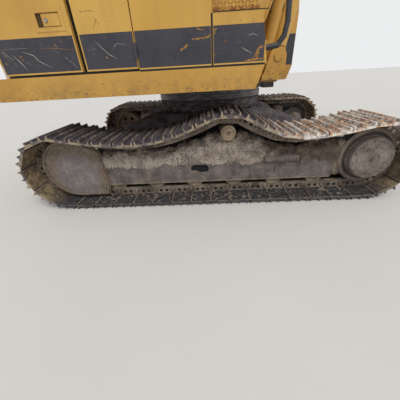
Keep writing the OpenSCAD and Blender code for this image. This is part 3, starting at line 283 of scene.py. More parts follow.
def yellow_enamel(name, mud_from=None, mud_to=None, bands=(), ring_below=None, chips=0.72, seams=(),
                  tones=("#CC9C44", "#D8AC55")):
    """The machine's enamel. Mud is thrown up from height mud_to (full) to mud_from (none); bands are
    charcoal panels, and seams are boxes painted near black as the shade in the joints, both as
    (x0, x1, z0, z1, y0, y1); what lies under ring_below is the slew ring; chips nearer to 1 are fewer."""
    made, tree, shader, place = finish_of(name)
    height = add(tree, "SeparateXYZ", {}, {0: place}).outputs["Z"]
    coat = tinted(tree, blotches(tree, place, 700, 0.35, 0.65, 5.0), *tones)
    runs = blotches(tree, place, 90, 0.52, 0.75, 4.0, stretch=(1, 1, 0.06))
    coat = tinted(tree, runs, coat, "#AE8543", 0.35)
    grime = blotches(tree, place, 260, 0.5, 0.75, 6.0)
    coat = tinted(tree, grime, coat, "#A88247", 0.3)
    sheen = add(tree, "MapRange", {1: 0.0, 2: 1.0, 3: 0.36, 4: 0.55}, {0: grime})
    if bands:
        film = charcoal_film(tree, place)
        peeled = blotches(tree, place, 34, 0.75, 0.76, 6.0)
        kept = add(tree, "Math", {"operation": "SUBTRACT", 0: 1.0}, {1: peeled})
    for panel in bands:
        coat = tinted(tree, overlap(tree, inside(tree, place, *panel), kept), coat, film)
    # painted shade: near black where the joints between and under the doors lie in shade
    for joint in seams:
        coat = tinted(tree, inside(tree, place, *joint), coat, "#17140F")
    if mud_from is not None:
        low = add(tree, "MapRange", {1: mud_from, 2: mud_to}, {0: height})
        thrown = overlap(tree, low, blotches(tree, place, 70, 0.42, 0.66, 8.0))
        coat = tinted(tree, thrown, coat, "#94743F", 0.75)
        spots = overlap(tree, low, blotches(tree, place, 17, 0.60, 0.64, 3.0))
        coat = tinted(tree, spots, coat, "#5C4526", 0.9)
    edge = worn_edge(tree, 5)
    coat = tinted(tree, overlap(tree, edge, blotches(tree, place, 45, 0.42, 0.6, 6.0)), coat, "#9A7B4C", 0.8)
    coat = tinted(tree, overlap(tree, edge, blotches(tree, place, 30, 0.58, 0.66, 6.0)), coat, "#6E3F22", 0.85)
    flaked = blotches(tree, place, 26, chips, chips + 0.02, 5.0)
    coat = tinted(tree, flaked, coat, "#7C5430", 0.8)
    if ring_below is not None:
        ring = add(tree, "Math", {"operation": "LESS_THAN", 1: ring_below}, {0: height})
        coat = tinted(tree, ring, coat, ring_steel(tree, place))
    sheet_waves = blotches(tree, place, 420, 0.2, 0.8, 1.0)
    orange_peel = blotches(tree, place, 9, 0.3, 0.7, 1.0)  # a real one is 2 mm, too fine to show
    surfaced(tree, shader, coat, {"Roughness": sheen, "IOR": 1.5},
             [(sheet_waves, 3.0), (orange_peel, 0.12), (flaked, -0.4)])
    return made


print("enamel ready, band from", "#302F37", "to", "#403E46")

# %% The charcoal bands, and the painted shade in the joints round the doors
rear_door, pump_door, radiator_door, tank, tool_box = [
    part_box(n) for n in ("rear_side_door", "pump_door", "radiator_door", "tank", "tool_box")]
face_y = rear_door[0].y  # the outer face of the right side's panels
band_top = 1.465
tank_x = tank[0].x + 0.016  # the tank's rear edge, without the hinge's ears
side_rim = 0.009  # yellow left along a panel's upright edges
door_rim, tank_rim = 0.011, 0.020  # and under the band
band_reach = {  # per panel: rear end, front end, lowest point, rim below
    "rear_side_door": (rear_door[0].x + side_rim, rear_door[1].x - side_rim, rear_door[0].z, door_rim),
    "pump_door": (pump_door[0].x + side_rim, tank_x - 0.012, pump_door[0].z, door_rim),
    "tank": (tank_x + 0.003, tank[1].x - side_rim, tank[0].z, tank_rim),
    "tool_box": (tool_box[0].x + side_rim, tool_box[1].x - side_rim - 0.018, tool_box[0].z, tank_rim),
}
side_bands = {n: (x0, x1, max(low_z, 1.205) + rim, band_top, face_y - 0.03, face_y + 0.004)
              for n, (x0, x1, low_z, rim) in band_reach.items()}
left_band = (radiator_door[0].x + 0.01, radiator_door[1].x - 0.01, 1.245, band_top, -face_y - 0.004, -face_y + 0.004)
hinge_dark = (tank_x - 0.018, tank_x + 0.010, 1.27, 1.41, face_y - 0.03, face_y - 0.0015)
# door_gap_shade and under_doors_shade: boxes where the house is painted near black, as painted shade in the gap between
# the doors and under them
door_gap_shade = (rear_door[1].x - 0.002, pump_door[0].x + 0.002, 1.208, 2.0, face_y - 0.01, face_y + 0.2)
under_doors_shade = (rear_door[0].x, pump_door[1].x + 0.01, 1.2, rear_door[0].z + 0.006, face_y - 0.01, face_y + 0.2)
cab_panel = (1.078, 1.30, 1.195, 1.56, 0.38, 0.44)  # charcoal corner of the cab's wall beside the boom
print("bands along the right side", sorted(side_bands), "top at", band_top)


# %% Dress the painted nodes
def dress(finish, *nodes):
    """Gives whole CAD nodes their finish."""
    for n in nodes:
        part[n].data.materials.clear()
        part[n].data.materials.append(finish)
    print(finish.name, "on", ", ".join(nodes))


sheet_enamel = yellow_enamel("faded_enamel_on_sheet")
cast_enamel = yellow_enamel("enamel_on_welded_boom", chips=0.74)
skirt_enamel = yellow_enamel("muddy_enamel_on_deck_beam", 1.19, 1.01, chips=0.76, tones=("#C08E39", "#CC9D48"))
dress(sheet_enamel, "house_roof", "engine_hood", "counterweight", "cab_door")
dress(cast_enamel, "boom", "stick", "rocker", "bucket_link", "boom_barrels", "stick_barrel", "bucket_barrel")
dress(skirt_enamel, "right_deck", "left_deck")
dress(yellow_enamel("faded_enamel_on_house", seams=[door_gap_shade, under_doors_shade]), "engine_house")
dress(yellow_enamel("muddy_enamel_on_main_frame", 1.35, 1.03, ring_below=1.0305, tones=("#C79740", "#D2A550")),
      "main_frame")
dress(yellow_enamel("faded_enamel_on_cab", bands=[cab_panel]), "cab_shell")
for node, bands in (("rear_side_door", []), ("pump_door", [hinge_dark]), ("tank", [hinge_dark])):
    dress(yellow_enamel("banded_enamel_" + node, 1.22, 1.17, [side_bands[node]] + bands), node)
dress(yellow_enamel("banded_enamel_tool_box", 1.22, 1.17, [side_bands["tool_box"]], chips=0.69), "tool_box")
dress(yellow_enamel("banded_enamel_radiator_door", 1.30, 1.22, [left_band]), "radiator_door")

# %% [markdown]
# ## Cast and welded steel under dried earth
# The track frames, guards and drives are dark castings that nobody has washed. Clay with fine
# gravel has dried on them to a pale grey brown, thick where it lies and rubbed thin on upright
# faces. The eye reads it by its grain, so the bump carries three sizes: lumps of a hand, pebbles
# of 17 mm and grit. Bare dark steel shows where something has rubbed.

# %% Dried earth
half_base, wheel_z, track_y = 1.505, 0.384, 1.055  # the wheels' place, and the track's middle


def gathered(tree, place, coat, pits, centre_x, centre_z, radius, clay, groove_shade):
    """Clay that has gathered near the rim of a round casting, and groove_shade (r0, r1): painted shade in a sunk ring
    on its face.
    """
    axes = add(tree, "SeparateXYZ", {}, {0: place}).outputs
    centre = add(tree, "CombineXYZ", {"X": centre_x, "Z": centre_z})
    flat = add(tree, "CombineXYZ", {}, {"X": axes["X"], "Z": axes["Z"]})
    far = add(tree, "VectorMath", {"operation": "DISTANCE"}, {0: flat, 1: centre}).outputs["Value"]
    outer = add(tree, "MapRange", {1: radius - 0.045, 2: radius + 0.045}, {0: far})
    outer = overlap(tree, outer, blotches(tree, place, 50, 0.30, 0.56, 8.0))
    coat = tinted(tree, outer, coat, tinted(tree, pits, clay, "#40362B"), 0.9)
    if groove_shade:
        r0, r1 = groove_shade
        # a dark ring: painted shade in the sunk ring on the drive's face
        ring = add(tree, "Math", {"operation": "COMPARE", 1: (r0 + r1) / 2, 2: (r1 - r0) / 2}, {0: far})
        coat = tinted(tree, ring, coat, "#37302B", 0.75)
    return coat


def earthy_casting(name, pale, damp, bare, bare_share=0.66, wash=0.55, lump_mm=9.0, ring_above=None,
                   rim=None, rim_clay="#7C6B57", groove_shade=None):
    """Dried mud over a casting. bare steel shows more where bare_share is lower; wash is how much of the
    mud the rain has run down in streaks; what lies over ring_above is the slew ring; rim is (x, z, r)."""
    made, tree, shader, place = finish_of(name)
    lumps = blotches(tree, place, 130, 0.36, 0.62, 7.0)
    pebble = add(tree, "TexVoronoi", {"Scale": 1000 / 17, "Randomness": 1.0}, {"Vector": place})
    pebbles = add(tree, "MapRange", {1: 0.0, 2: 0.6, 3: 1.0, 4: 0.0}, {0: pebble.outputs["Distance"]})
    grit = blotches(tree, place, 5, 0.3, 0.7, 3.0)  # drawn at 5 mm, since grit of 1 mm would not show
    pits = blotches(tree, place, 13, 0.57, 0.70, 4.0)
    coat = tinted(tree, lumps, damp, pale)
    coat = tinted(tree, blotches(tree, place, 34, 0.42, 0.66, 5.0, stretch=(1, 1, 0.15)), coat, "#6A6260", wash)
    coat = tinted(tree, overlap(tree, pebbles, blotches(tree, place, 90, 0.45, 0.6)), coat, "#B3A693", 0.45)
    coat = tinted(tree, pits, coat, "#3C342C", 0.65)
    coat = tinted(tree, overlap(tree, worn_edge(tree, 8), blotches(tree, place, 60, 0.4, 0.6)), coat, "#A6957F", 0.7)
    coat = tinted(tree, blotches(tree, place, 210, bare_share, bare_share + 0.06, 5.0), coat, bare, 0.8)
    if ring_above is not None:
        height = add(tree, "SeparateXYZ", {}, {0: place}).outputs["Z"]
        ring = add(tree, "Math", {"operation": "GREATER_THAN", 1: ring_above}, {0: height})
        coat = tinted(tree, ring, coat, ring_steel(tree, place))
    if rim:
        coat = gathered(tree, place, coat, pits, *rim, rim_clay, groove_shade)
    surfaced(tree, shader, coat, {"Roughness": 0.88, "Specular IOR Level": 0.25},
             [(lumps, lump_mm), (pebbles, 1.6), (pits, -0.3 * lump_mm), (grit, 0.9)], 5.0)
    return made


guard_mud = earthy_casting("dried_earth_on_guard", "#928A88", "#7C7475", "#5F5A5C", 0.70, wash=0.3,
                           rim=(-1.40, 0.315, 0.215))
drive_mud = earthy_casting("dried_earth_on_drive", "#8F857E", "#675E58", "#4A4644", 0.72, wash=0.1,
                           rim=(half_base, wheel_z, 0.255), rim_clay="#968573", groove_shade=(0.207, 0.236))
dress(earthy_casting("dried_earth_on_frame", "#847B75", "#5F5856", "#4A4648"), "right_track_frame", "left_track_frame")
dress(earthy_casting("thick_earth_on_roller", "#C9B297", "#A08B72", "#5A4E40", 0.74, wash=0.0), "carrier_rollers")
dress(earthy_casting("thin_earth_on_wheels", "#9C8A77", "#7A6B5C", "#524A42", 0.70, wash=0.0),
      "lower_rollers", "idlers")
dress(guard_mud, "idler_guards")
dress(drive_mud, "final_drives")
dress(earthy_casting("dusty_dark_casting", "#59555B", "#3F3C42", "#333136", 0.55, wash=0.2, lump_mm=3.0,
                     ring_above=0.7995), "car_body")

# %% [markdown]
# ## Rolled track steel
# Track shoes are rolled hardened plate. Work in gravel keeps the grouser tips bright and pale,
# the plates between them carry a bluish, dusty scale with rust in it, and earth stays in the
# corners. The tips are found by the edge pattern, because they are the chain's only sharp edges.
# On the right chain the run over the drive is painted as in sunlight: its clay and rust pale and bright, with painted
# glare on the edges.

# %% Track steel
def inside_loop(tree, axes, normal):
    """1 on the faces that look into the closed track: their normal points at the loop's middle line."""
    middle = add(tree, "Clamp", {"Min": -half_base, "Max": half_base}, {"Value": axes["X"]})
    dx = add(tree, "Math", {"operation": "SUBTRACT"}, {0: axes["X"], 1: middle})
    dz = add(tree, "Math", {"operation": "SUBTRACT", 1: wheel_z}, {0: axes["Z"]})
    away = add(tree, "CombineXYZ", {}, {"X": dx, "Z": dz})
    facing = add(tree, "VectorMath", {"operation": "DOT_PRODUCT"}, {0: away, 1: normal})
    return add(tree, "Math", {"operation": "LESS_THAN", 1: -0.02}, {0: facing.outputs["Value"]})


def caked_chain(tree, place, coat):
    """Clay on the shoes' ends and inside the loop, a darker bluish scale on the lowest run and grease on the rail."""
    axes = add(tree, "SeparateXYZ", {}, {0: place}).outputs
    normal = add(tree, "NewGeometry").outputs["Normal"]
    sideways = add(tree, "SeparateXYZ", {}, {0: normal}).outputs["Y"]
    off = add(tree, "Math", {"operation": "ABSOLUTE"}, {0: axes["Y"]})
    off = add(tree, "Math", {"operation": "SUBTRACT", 1: track_y}, {0: off})
    flank, off = [add(tree, "Math", {"operation": "ABSOLUTE"}, {0: v}) for v in (sideways, off)]
    flank = add(tree, "Math", {"operation": "GREATER_THAN", 1: 0.9}, {0: flank})
    ends = add(tree, "Math", {"operation": "GREATER_THAN", 1: 0.29}, {0: off})
    rail = add(tree, "Math", {"operation": "LESS_THAN", 1: 0.086}, {0: off})
    ends = overlap(tree, flank, ends, blotches(tree, place, 60, 0.40, 0.55, 6.0))
    coat = tinted(tree, ends, coat, "#A8977B", 0.85)
    clay = tinted(tree, blotches(tree, place, 60, 0.4, 0.62, 8.0), "#6B5C48", "#A08D6F")
    clay = tinted(tree, blotches(tree, place, 15, 0.55, 0.68, 5.0), clay, "#3B3127", 0.7)
    inner = overlap(tree, inside_loop(tree, axes, normal), blotches(tree, place, 150, 0.28, 0.40, 5.0))
    coat = tinted(tree, inner, coat, clay)
    low = add(tree, "MapRange", {1: 0.14, 2: 0.06}, {0: axes["Z"]})
    low_run_dark = tinted(tree, blotches(tree, place, 38, 0.46, 0.66, 6.0), "#2C2E36", "#4C4B50")
    coat = tinted(tree, low, coat, low_run_dark, 0.92)
    return tinted(tree, overlap(tree, flank, rail), coat, "#2E271F")


def track_plate(name, scale_tone="#3D3A42", lighter="#57525A", tip="#C4B194", caked=0.0, sunny=False,
                silt=("#7F7260", 0.8)):
    """Rolled steel. caked above 0 adds the mud; sunny paints sunlight on the run over the drive: its clay
    and rust pale and bright, with glare on its edges, and the grouser tips dimmer behind it; silt is the dust's tone
    and share."""
    made, tree, shader, place = finish_of(name)
    axes = add(tree, "SeparateXYZ", {}, {0: place}).outputs
    coat = tinted(tree, blotches(tree, place, 110, 0.35, 0.65, 6.0), scale_tone, lighter)
    earth = blotches(tree, place, 75, 0.53 - 0.25 * caked, 0.64 - 0.2 * caked, 8.0)
    coat = tinted(tree, earth, coat, *silt)
    coat = tinted(tree, blotches(tree, place, 48, 0.6, 0.7, 6.0), coat, "#8A5530", 0.25 if sunny else 0.5)
    if caked:
        coat = caked_chain(tree, place, coat)
    tips = overlap(tree, worn_edge(tree, 7), blotches(tree, place, 40, 0.34, 0.5, 5.0))
    if sunny:
        # painted sunlight: pale, bright clay and rust on the run over the drive, and grouser tips dimmer towards the
        # back
        front = add(tree, "MapRange", {1: 0.40, 2: 0.85}, {0: axes["X"]})
        front = overlap(tree, front, add(tree, "Math", {"operation": "GREATER_THAN", 1: 0.45}, {0: axes["Z"]}))
        sunlit_clay = tinted(tree, blotches(tree, place, 70, 0.56, 0.64, 6.0), "#F0E6DA", "#C98442")
        specks = tinted(tree, blotches(tree, place, 30, 0.38, 0.54, 5.0), "#837D86", sunlit_clay)
        coat = tinted(tree, front, coat, specks, 0.97)
        tips = overlap(tree, tips, add(tree, "MapRange", {1: -0.3, 2: 0.5, 3: 0.35, 4: 1.0}, {0: axes["X"]}))
    coat = tinted(tree, tips, coat, tip, 0.9)
    if sunny:
        # painted glare on the bright edges of that run
        glare = tinted(tree, blotches(tree, place, 170, 0.50, 0.55, 3.0, stretch=(2, 0.5, 1)), "#FFFAF0", "#E29C4E")
        lit = add(tree, "MapRange", {1: 0.04, 2: 0.25}, {0: worn_edge(tree, 12)})
        coat = tinted(tree, overlap(tree, front, lit), coat, glare)
    surfaced(tree, shader, coat, {"Roughness": 0.62, "Specular IOR Level": 0.5},
             [(earth, 5.0), (blotches(tree, place, 18, 0.3, 0.7, 5.0), 2.5)], 4.0)
    return made


shoe_steel = track_plate("worn_rolled_shoe_steel")
dress(track_plate("worn_shoe_steel_right_painted_sunlit", caked=0.15, sunny=True, silt=("#6E676A", 0.6)), "right_track")
dress(track_plate("caked_shoe_steel_left", caked=1.0), "left_track")
dress(shoe_steel, "sprockets")
dress(track_plate("worn_tooth_steel", "#59544F", "#6E675F", "#B3A794"), "bucket_teeth")

# %% [markdown]
# ## Bare, plated and burnt metal, rubber and glass
# Piston rods are hard chrome, ground and polished: a near mirror with fine rings and an oil film.
# The exhaust is mild steel that heat has browned to a dull scale. The bucket is enamel outside,
# with bare ground steel where earth slides. The grab rail is a steel tube in black baked coating,
# a low sheen over fine grain, and the cab's panes are tempered glass with a film of dust.

# %% Piston rods and exhaust
chromed, tree, shader, place = finish_of("ground_hard_chrome")
smear = blotches(tree, place, 80, 0.35, 0.7, 5.0)
polish = add(tree, "MapRange", {3: 0.12, 4: 0.38}, {0: smear})
surfaced(tree, shader, tinted(tree, smear, "#B9BABB", "#8C8984"), {"Roughness": polish, "Metallic": 1.0},
         [(blotches(tree, place, 6, 0.3, 0.7, 2.0), 0.05)])
dress(chromed, "boom_rods", "stick_rod", "bucket_rod")

burnt, tree, shader, place = finish_of("heat_browned_steel")
scale = blotches(tree, place, 60, 0.35, 0.7, 7.0)
surfaced(tree, shader, tinted(tree, scale, "#4B3A30", "#7A5236"), {"Roughness": 0.8, "Metallic": 0.35},
         [(scale, 1.0), (blotches(tree, place, 7, 0.3, 0.7, 2.0), 0.4)], 3.0)
dress(burnt, "exhaust")

# %% Bucket
scoured, tree, shader, place = finish_of("earth_scoured_bucket_plate")
low = add(tree, "MapRange", {1: 1.15, 2: 0.45}, {0: add(tree, "SeparateXYZ", {}, {0: place}).outputs["Z"]})
bare = overlap(tree, low, blotches(tree, place, 120, 0.35, 0.5, 8.0))
ground = tinted(tree, blotches(tree, place, 60, 0.4, 0.7, 6.0, stretch=(1, 1, 0.3)), "#6A635C", "#8B8071")
coat = tinted(tree, blotches(tree, place, 300, 0.35, 0.65, 5.0), "#B58C42", "#C29B50")
coat = tinted(tree, bare, coat, ground, 0.95)
coat = tinted(tree, blotches(tree, place, 50, 0.6, 0.7, 6.0), coat, "#7A4C2A", 0.6)
coat = tinted(tree, worn_edge(tree, 8), coat, "#8E8272", 0.7)
surfaced(tree, shader, coat, {"Roughness": 0.55}, [(bare, -0.5), (blotches(tree, place, 25, 0.3, 0.7, 5.0), 0.9)], 4.0)
dress(scoured, "bucket")


# %% Dark coatings, rubber and plastic
def black_part(name, tone, lighter, roughness, grain_mm, grain_depth):
    """A dark coating or moulding: dust in large patches, pale rubbed edges and one size of grain."""
    made, tree, shader, place = finish_of(name)
    coat = tinted(tree, blotches(tree, place, 120, 0.4, 0.75, 6.0), tone, lighter, 0.7)
    coat = tinted(tree, worn_edge(tree, 3), coat, "#6E6A68", 0.5)
    surfaced(tree, shader, coat, {"Roughness": roughness},
             [(blotches(tree, place, grain_mm, 0.3, 0.7, 2.0), grain_depth)], 1.5)
    return made


machine_plastic = black_part("grained_cab_plastic", "#2E2D30", "#47454A", 0.6, 5, 0.2)
dress(black_part("black_baked_tube_coat", "#2B2A2F", "#4A4850", 0.42, 30, 0.3), "grab_rail")
dress(black_part("oily_engine_coat", "#35322F", "#5A5148", 0.5, 20, 1.2), "engine")
dress(black_part("dusty_grille_coat", "#38363A", "#6A6258", 0.6, 12, 0.3), "side_grille")
dress(machine_plastic, "console")

# %% Cab glass
pane, tree, shader, place = finish_of("tempered_cab_glass")
film = blotches(tree, place, 240, 0.4, 0.75, 6.0)
haze = add(tree, "MapRange", {3: 0.02, 4: 0.16}, {0: film})
surfaced(tree, shader, tinted(tree, film, "#C9D6D4", "#B9BCB2"),
         {"Roughness": haze, "Transmission Weight": 1.0, "IOR": 1.5}, [(film, 0.05)], 1.0)
dress(pane, "cab_glass", "door_glass")

# %% [markdown]
# ## Tools for the added pieces
# Each added piece is a mesh in the machine's own coordinates that rides on one body. A piece is
# gathered in a bmesh, so that one object can hold all the bolts of one body; a bevel modifier
# then breaks its edges, as a deburred or forged edge is never quite sharp.

# %% Mesh helpers
def piece(name, build, finish, body, bevel_mm=0.0, smooth=False):
    """Makes an object from a function that fills a bmesh, and lets it ride on a body."""
    bm = bmesh.new()
    build(bm)
    bmesh.ops.recalc_face_normals(bm, faces=bm.faces)
    mesh = bpy.data.meshes.new(name)
    bm.to_mesh(mesh)
    bm.free()
    made = bpy.data.objects.new(name, mesh)
    scene.collection.objects.link(made)
    mesh.materials.append(finish)
    if bevel_mm:
        soft = made.modifiers.new("broken_edges", "BEVEL")
        soft.width, soft.segments, soft.limit_method = bevel_mm / 1000, 2, "ANGLE"
    if smooth:
        mesh.polygons.foreach_set("use_smooth", [True] * len(mesh.polygons))
    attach(made, body)
    print(f"{name}: {len(mesh.polygons)} faces on {body}")
    return made


def block(bm, low, high, place=None):
    """A cuboid between two corners, turned by place if given."""
    low, high = Vector(low), Vector(high)
    for v in bmesh.ops.create_cube(bm, size=1.0)["verts"]:
        v.co = Vector([(low[i] + high[i]) / 2 + v.co[i] * (high[i] - low[i]) for i in range(3)])
        if place:
            v.co = place @ v.co


def skin(bm, rows, closed=True, lids=True):
    """Faces between rows of points. Closed rows are rings, and lids shut the first and the last of them."""
    rows = [[bm.verts.new(p) for p in row] for row in rows]
    for a, b in zip(rows, rows[1:]):
        for i in range(len(a) if closed else len(a) - 1):
            j = (i + 1) % len(a)
            bm.faces.new((a[i], a[j], b[j], b[i]))
    if lids:
        bm.faces.new(list(reversed(rows[0])))
        bm.faces.new(rows[-1])


def turned(bm, profile, centre, axis, facets=24):
    """A round part from (radius, height) pairs along axis, closed at both ends."""
    turn = Vector((0, 0, 1)).rotation_difference(Vector(axis)).to_matrix()
    angles = [2 * math.pi * i / facets for i in range(facets)]
    skin(bm, [[Vector(centre) + turn @ Vector((r * math.cos(a), r * math.sin(a), h)) for a in angles]
              for r, h in profile])


def hex_bolt(bm, centre, axis, across_mm):
    """A hexagon head on a pressed washer, with the head's corners chamfered."""
    r = across_mm / 2000 / math.cos(math.pi / 6)
    turned(bm, [(r * 1.35, 0), (r * 1.35, 0.12 * r), (r * 1.15, 0.22 * r)], centre, axis, 16)
    turned(bm, [(r, 0.2 * r), (r, 0.95 * r), (r * 0.82, 1.15 * r)], centre, axis, 6)


def plate(bm, outline, y0, y1):
    """A flat outline in X and Z, made thick from y0 to y1."""
    skin(bm, [[(x, y, z) for x, z in outline] for y in (y0, y1)])


def read_off(table, at, beyond):
    """A value between the rows (place, value) of a table, or beyond where the table ends."""
    for (x0, v0), (x1, v1) in zip(table, table[1:]):
        if x0 <= at <= x1:
            return v0 + (v1 - v0) * (at - x0) / (x1 - x0)
    return beyond


sides = {"right": -1, "left": 1}  # the machine's sides, and which way Y runs on them
print("helpers ready")

# %% [markdown]
# ## The rear side door's latch
# The latch is a zinc die casting in the door's own colour: a mitred frame, a flat paddle that a
# finger pulls from its left edge, and a key cylinder. It is small but the picture shows it well,
# so it is made of four pieces: frame, floor of the pocket, paddle and cylinder. The floor's dark
# brown is painted shade in the pocket.

# %% Latch
latch_x, latch_z = (-1.305, -1.093), (1.504, 1.624)  # the pocket in the door


def latch_frame(bm):
    """A rolled rim round the pocket: four nested rectangles of rising and falling depth."""
    (x0, x1), (z0, z1) = latch_x, latch_z
    skin(bm, [[(x0 - grow, face_y + depth, z0 - grow), (x1 + grow, face_y + depth, z0 - grow),
               (x1 + grow, face_y + depth, z1 + grow), (x0 - grow, face_y + depth, z1 + grow)]
              for grow, depth in ((0.013, 0.0), (0.010, -0.0035), (-0.017, -0.0020), (-0.019, 0.004))], lids=False)


def latch_sheet(bm, left, rim, front, back):
    """A flat sheet inside the pocket, left and rim metres in from its edges."""
    (x0, x1), (z0, z1) = latch_x, latch_z
    block(bm, (x0 + left, face_y + front, z0 + rim), (x1 - rim, face_y + back, z1 - rim))


def key_cylinder(bm):
    at = Vector((latch_x[0] + 0.088, face_y + 0.003, sum(latch_z) / 2 - 0.002))
    turned(bm, [(0.013, 0), (0.013, 0.005), (0.011, 0.007), (0.010, 0.007), (0.009, 0.005)], at, (0, -1, 0), 24)


# the pocket's floor is painted dark brown: painted shade in the recess behind the paddle
latch_pocket_shade = black_part("painted_shade_in_latch_pocket", "#4A3517", "#5E4620", 0.7, 10, 0.2)
piece("latch_frame", latch_frame, sheet_enamel, "rear_side_door")
piece("latch_floor", lambda bm: latch_sheet(bm, 0.002, 0.002, 0.0100, 0.0118), latch_pocket_shade,
      "rear_side_door", 0.5)
piece("latch_paddle", lambda bm: latch_sheet(bm, 0.058, 0.022, 0.0035, 0.009), sheet_enamel,
      "rear_side_door", 1.5)
piece("latch_key_cylinder", key_cylinder, chromed, "rear_side_door")

# %% [markdown]
# ## Scratches, flakes and scuffs
# Branches and stones went along the band: thin pale lines that cut through to the primer, and
# flakes that show the yellow. Boots and tools rubbed the door above it. The long marks are placed
# one by one as slivers a fifth of a millimetre proud, because a noise pattern gives many alike and
# never these. They are placed by the pixel where the picture shows them.

# %% Finishes of the marks
# matt primer in a fresh cut, rusty yellow in a flake, a duller smear of rubber in a scuff
marks = {}
for name, size_mm, low, high, dull, bright, roughness in (
        ("cut_to_primer", 25, 0.4, 0.6, "#B8AD9A", "#DDD3BF", 0.7),
        ("rusty_flake", 9, 0.42, 0.58, "#B8924A", "#7A4626", 0.85),
        ("rubber_scuff", 14, 0.4, 0.6, "#8B6D3C", "#A8874A", 0.6)):
    marks[name], tree, shader, place = finish_of(name)
    coat = tinted(tree, blotches(tree, place, size_mm, low, high), dull, bright)
    surfaced(tree, shader, coat, {"Roughness": roughness})
print("marks", list(marks))


# %% Scratches and strokes
def sliver(bm, lift, width_mm, *spots):
    """A ribbon through pixels of the picture that tapers at both ends, lying on the side's face."""
    points = [seen_at(px, py, face_y - lift) for px, py in spots]
    rows = []
    for i, p in enumerate(points):
        along = (points[min(i + 1, len(points) - 1)] - points[max(i - 1, 0)]).normalized()
        taper = 0.25 if i in (0, len(points) - 1) else 1.0
        half = Vector((-along.z, 0, along.x)) * width_mm / 2000 * taper
        rows.append((p + half, p - half))
    skin(bm, rows, closed=False, lids=False)


# each line: width in mm, then its pixels
scratches = {
    "rear_side_door": [
        (3.4, (1, 53), (11, 62)), (3.74, (12, 55), (20, 62), (28.5, 71)),
        (3.4, (22, 52), (33.7, 55.6), (38.8, 61), (52, 68)), (3.06, (3, 49.6), (27.5, 48.2)),
        (2.55, (57, 38), (63, 43)), (4.08, (65, 57), (78, 67.8)), (2.38, (21, 41), (23.5, 46)),
        (2.38, (39.3, 40), (42.3, 47)), (2.04, (48.5, 45.5), (58.7, 54)), (2.04, (12.5, 60), (17, 67)),
        (2.72, (25.5, 62), (33, 65.5)), (2.38, (67.4, 35.6), (69.2, 38.6)), (2.38, (57.2, 51.5), (59.5, 55)),
        (2.72, (0.5, 50.5), (6, 55), (14, 60.5)), (2.04, (15, 63), (17.4, 67)),
    ],
    "pump_door": [
        (2.72, (93.4, 40.3), (103, 49), (110, 55), (118.4, 59)), (2.21, (104, 36), (106.5, 39.5)),
        (2.04, (113, 47), (117, 43.5), (126, 44.6)), (1.7, (112, 51), (116, 45)), (1.7, (88, 50), (96, 49)),
    ],
    "upper": [(3.06, (241, 46.6), (246, 50), (252, 53)), (2.72, (248, 35.3), (253, 33.6), (258.5, 35.5))],
}
strokes = [
    (14, (180, 50.5), (184, 48), (187, 45.5), (187.5, 43.5)),
    (9, (191.5, 39), (198, 38.7), (204, 38), (209, 36.5), (211, 33.5)),
    (8, (196, 28), (200, 29.5), (204, 30)), (10, (213, 33), (215, 30), (217, 28)),
    (15, (254, 57), (256, 54), (258, 50), (259, 47.5), (264, 45.5)), (13, (244, 61), (250, 60), (257, 59), (265, 58)),
]
scuffs = [(6, (93, 16), (95.5, 20), (94.5, 25), (92.5, 29)), (6, (95.5, 19), (98.3, 23), (99.5, 27)),
          (6, (80, 12.5), (88, 10.5), (95, 11.5))]
long_scratch = [(3.5, (39.5, 48.2), (57, 48.4), (75.5, 50))]


def marked(name, lines, lift, mark, body):
    """One piece from a list of lines that lie on the same body."""
    piece(name, lambda bm: [sliver(bm, lift, *line) for line in lines], marks[mark], body)


for body, lines in scratches.items():
    marked("scratches_" + body, lines, 0.0002, "cut_to_primer", body)
marked("long_yellow_scratch", long_scratch, 0.00025, "rusty_flake", "rear_side_door")
marked("peeled_strokes", strokes, 0.00045, "rusty_flake", "upper")


# %% Flakes and scuffs
def flake(bm, px, py, radius_mm, seed):
    """A ragged spot of lost paint, its outline pulled about by noise."""
    corners, lift = 14, 0.0004
    middle = seen_at(px, py, face_y - lift)
    rim = []
    for a in [2 * math.pi * i / corners for i in range(corners)]:
        pull = noise.noise(Vector((math.cos(a) * 1.7, math.sin(a) * 1.7, seed)))
        r = radius_mm / 1000 * (0.65 + 0.9 * pull)
        rim.append(bm.verts.new(middle + Vector((math.cos(a) * r, 0, math.sin(a) * r * 1.2))))
    bm.faces.new(rim)


# each flake: its pixel, then its radius in mm
flakes = {
    "rear_side_door": [(55, 45, 9), (56.5, 46.5, 6), (21, 57, 11), (23, 60, 8), (6.5, 64, 7)],
    "upper": [(181, 50, 9), (184, 48, 8), (187, 45, 9), (193, 39.6, 7), (198, 39, 9), (203, 38, 10), (207, 37, 9),
              (209.5, 35, 10), (198, 28.8, 9), (203, 29.6, 6), (214, 29, 9), (214.5, 33, 8), (218, 40.5, 5),
              (258, 53, 13), (257, 57, 16), (253, 58.5, 12), (248, 59.5, 9), (262, 47, 12), (259, 49, 9),
              (264, 59, 9)],
}
first = 0
for body, spots in flakes.items():
    piece("paint_flakes_" + body,
          lambda bm: [flake(bm, *spot, i * 3.7) for i, spot in enumerate(spots, first)],
          marks["rusty_flake"], body)
    first += len(spots)
marked("scuffs_pump_door", scuffs, 0.0002, "rubber_scuff", "pump_door")

# %% [markdown]
# ## The rusty non-slip face over the tool box
# The step above the tool box is clad in embossed tread sheet: short raised bars in a herringbone,
# pressed into 3 mm sheet. Paint has gone from the bars first, so each is rust red on its crest.
# The bars are real relief, laid in two tilted rows by a loop, since a bump would not catch light
# at the edge of the picture.

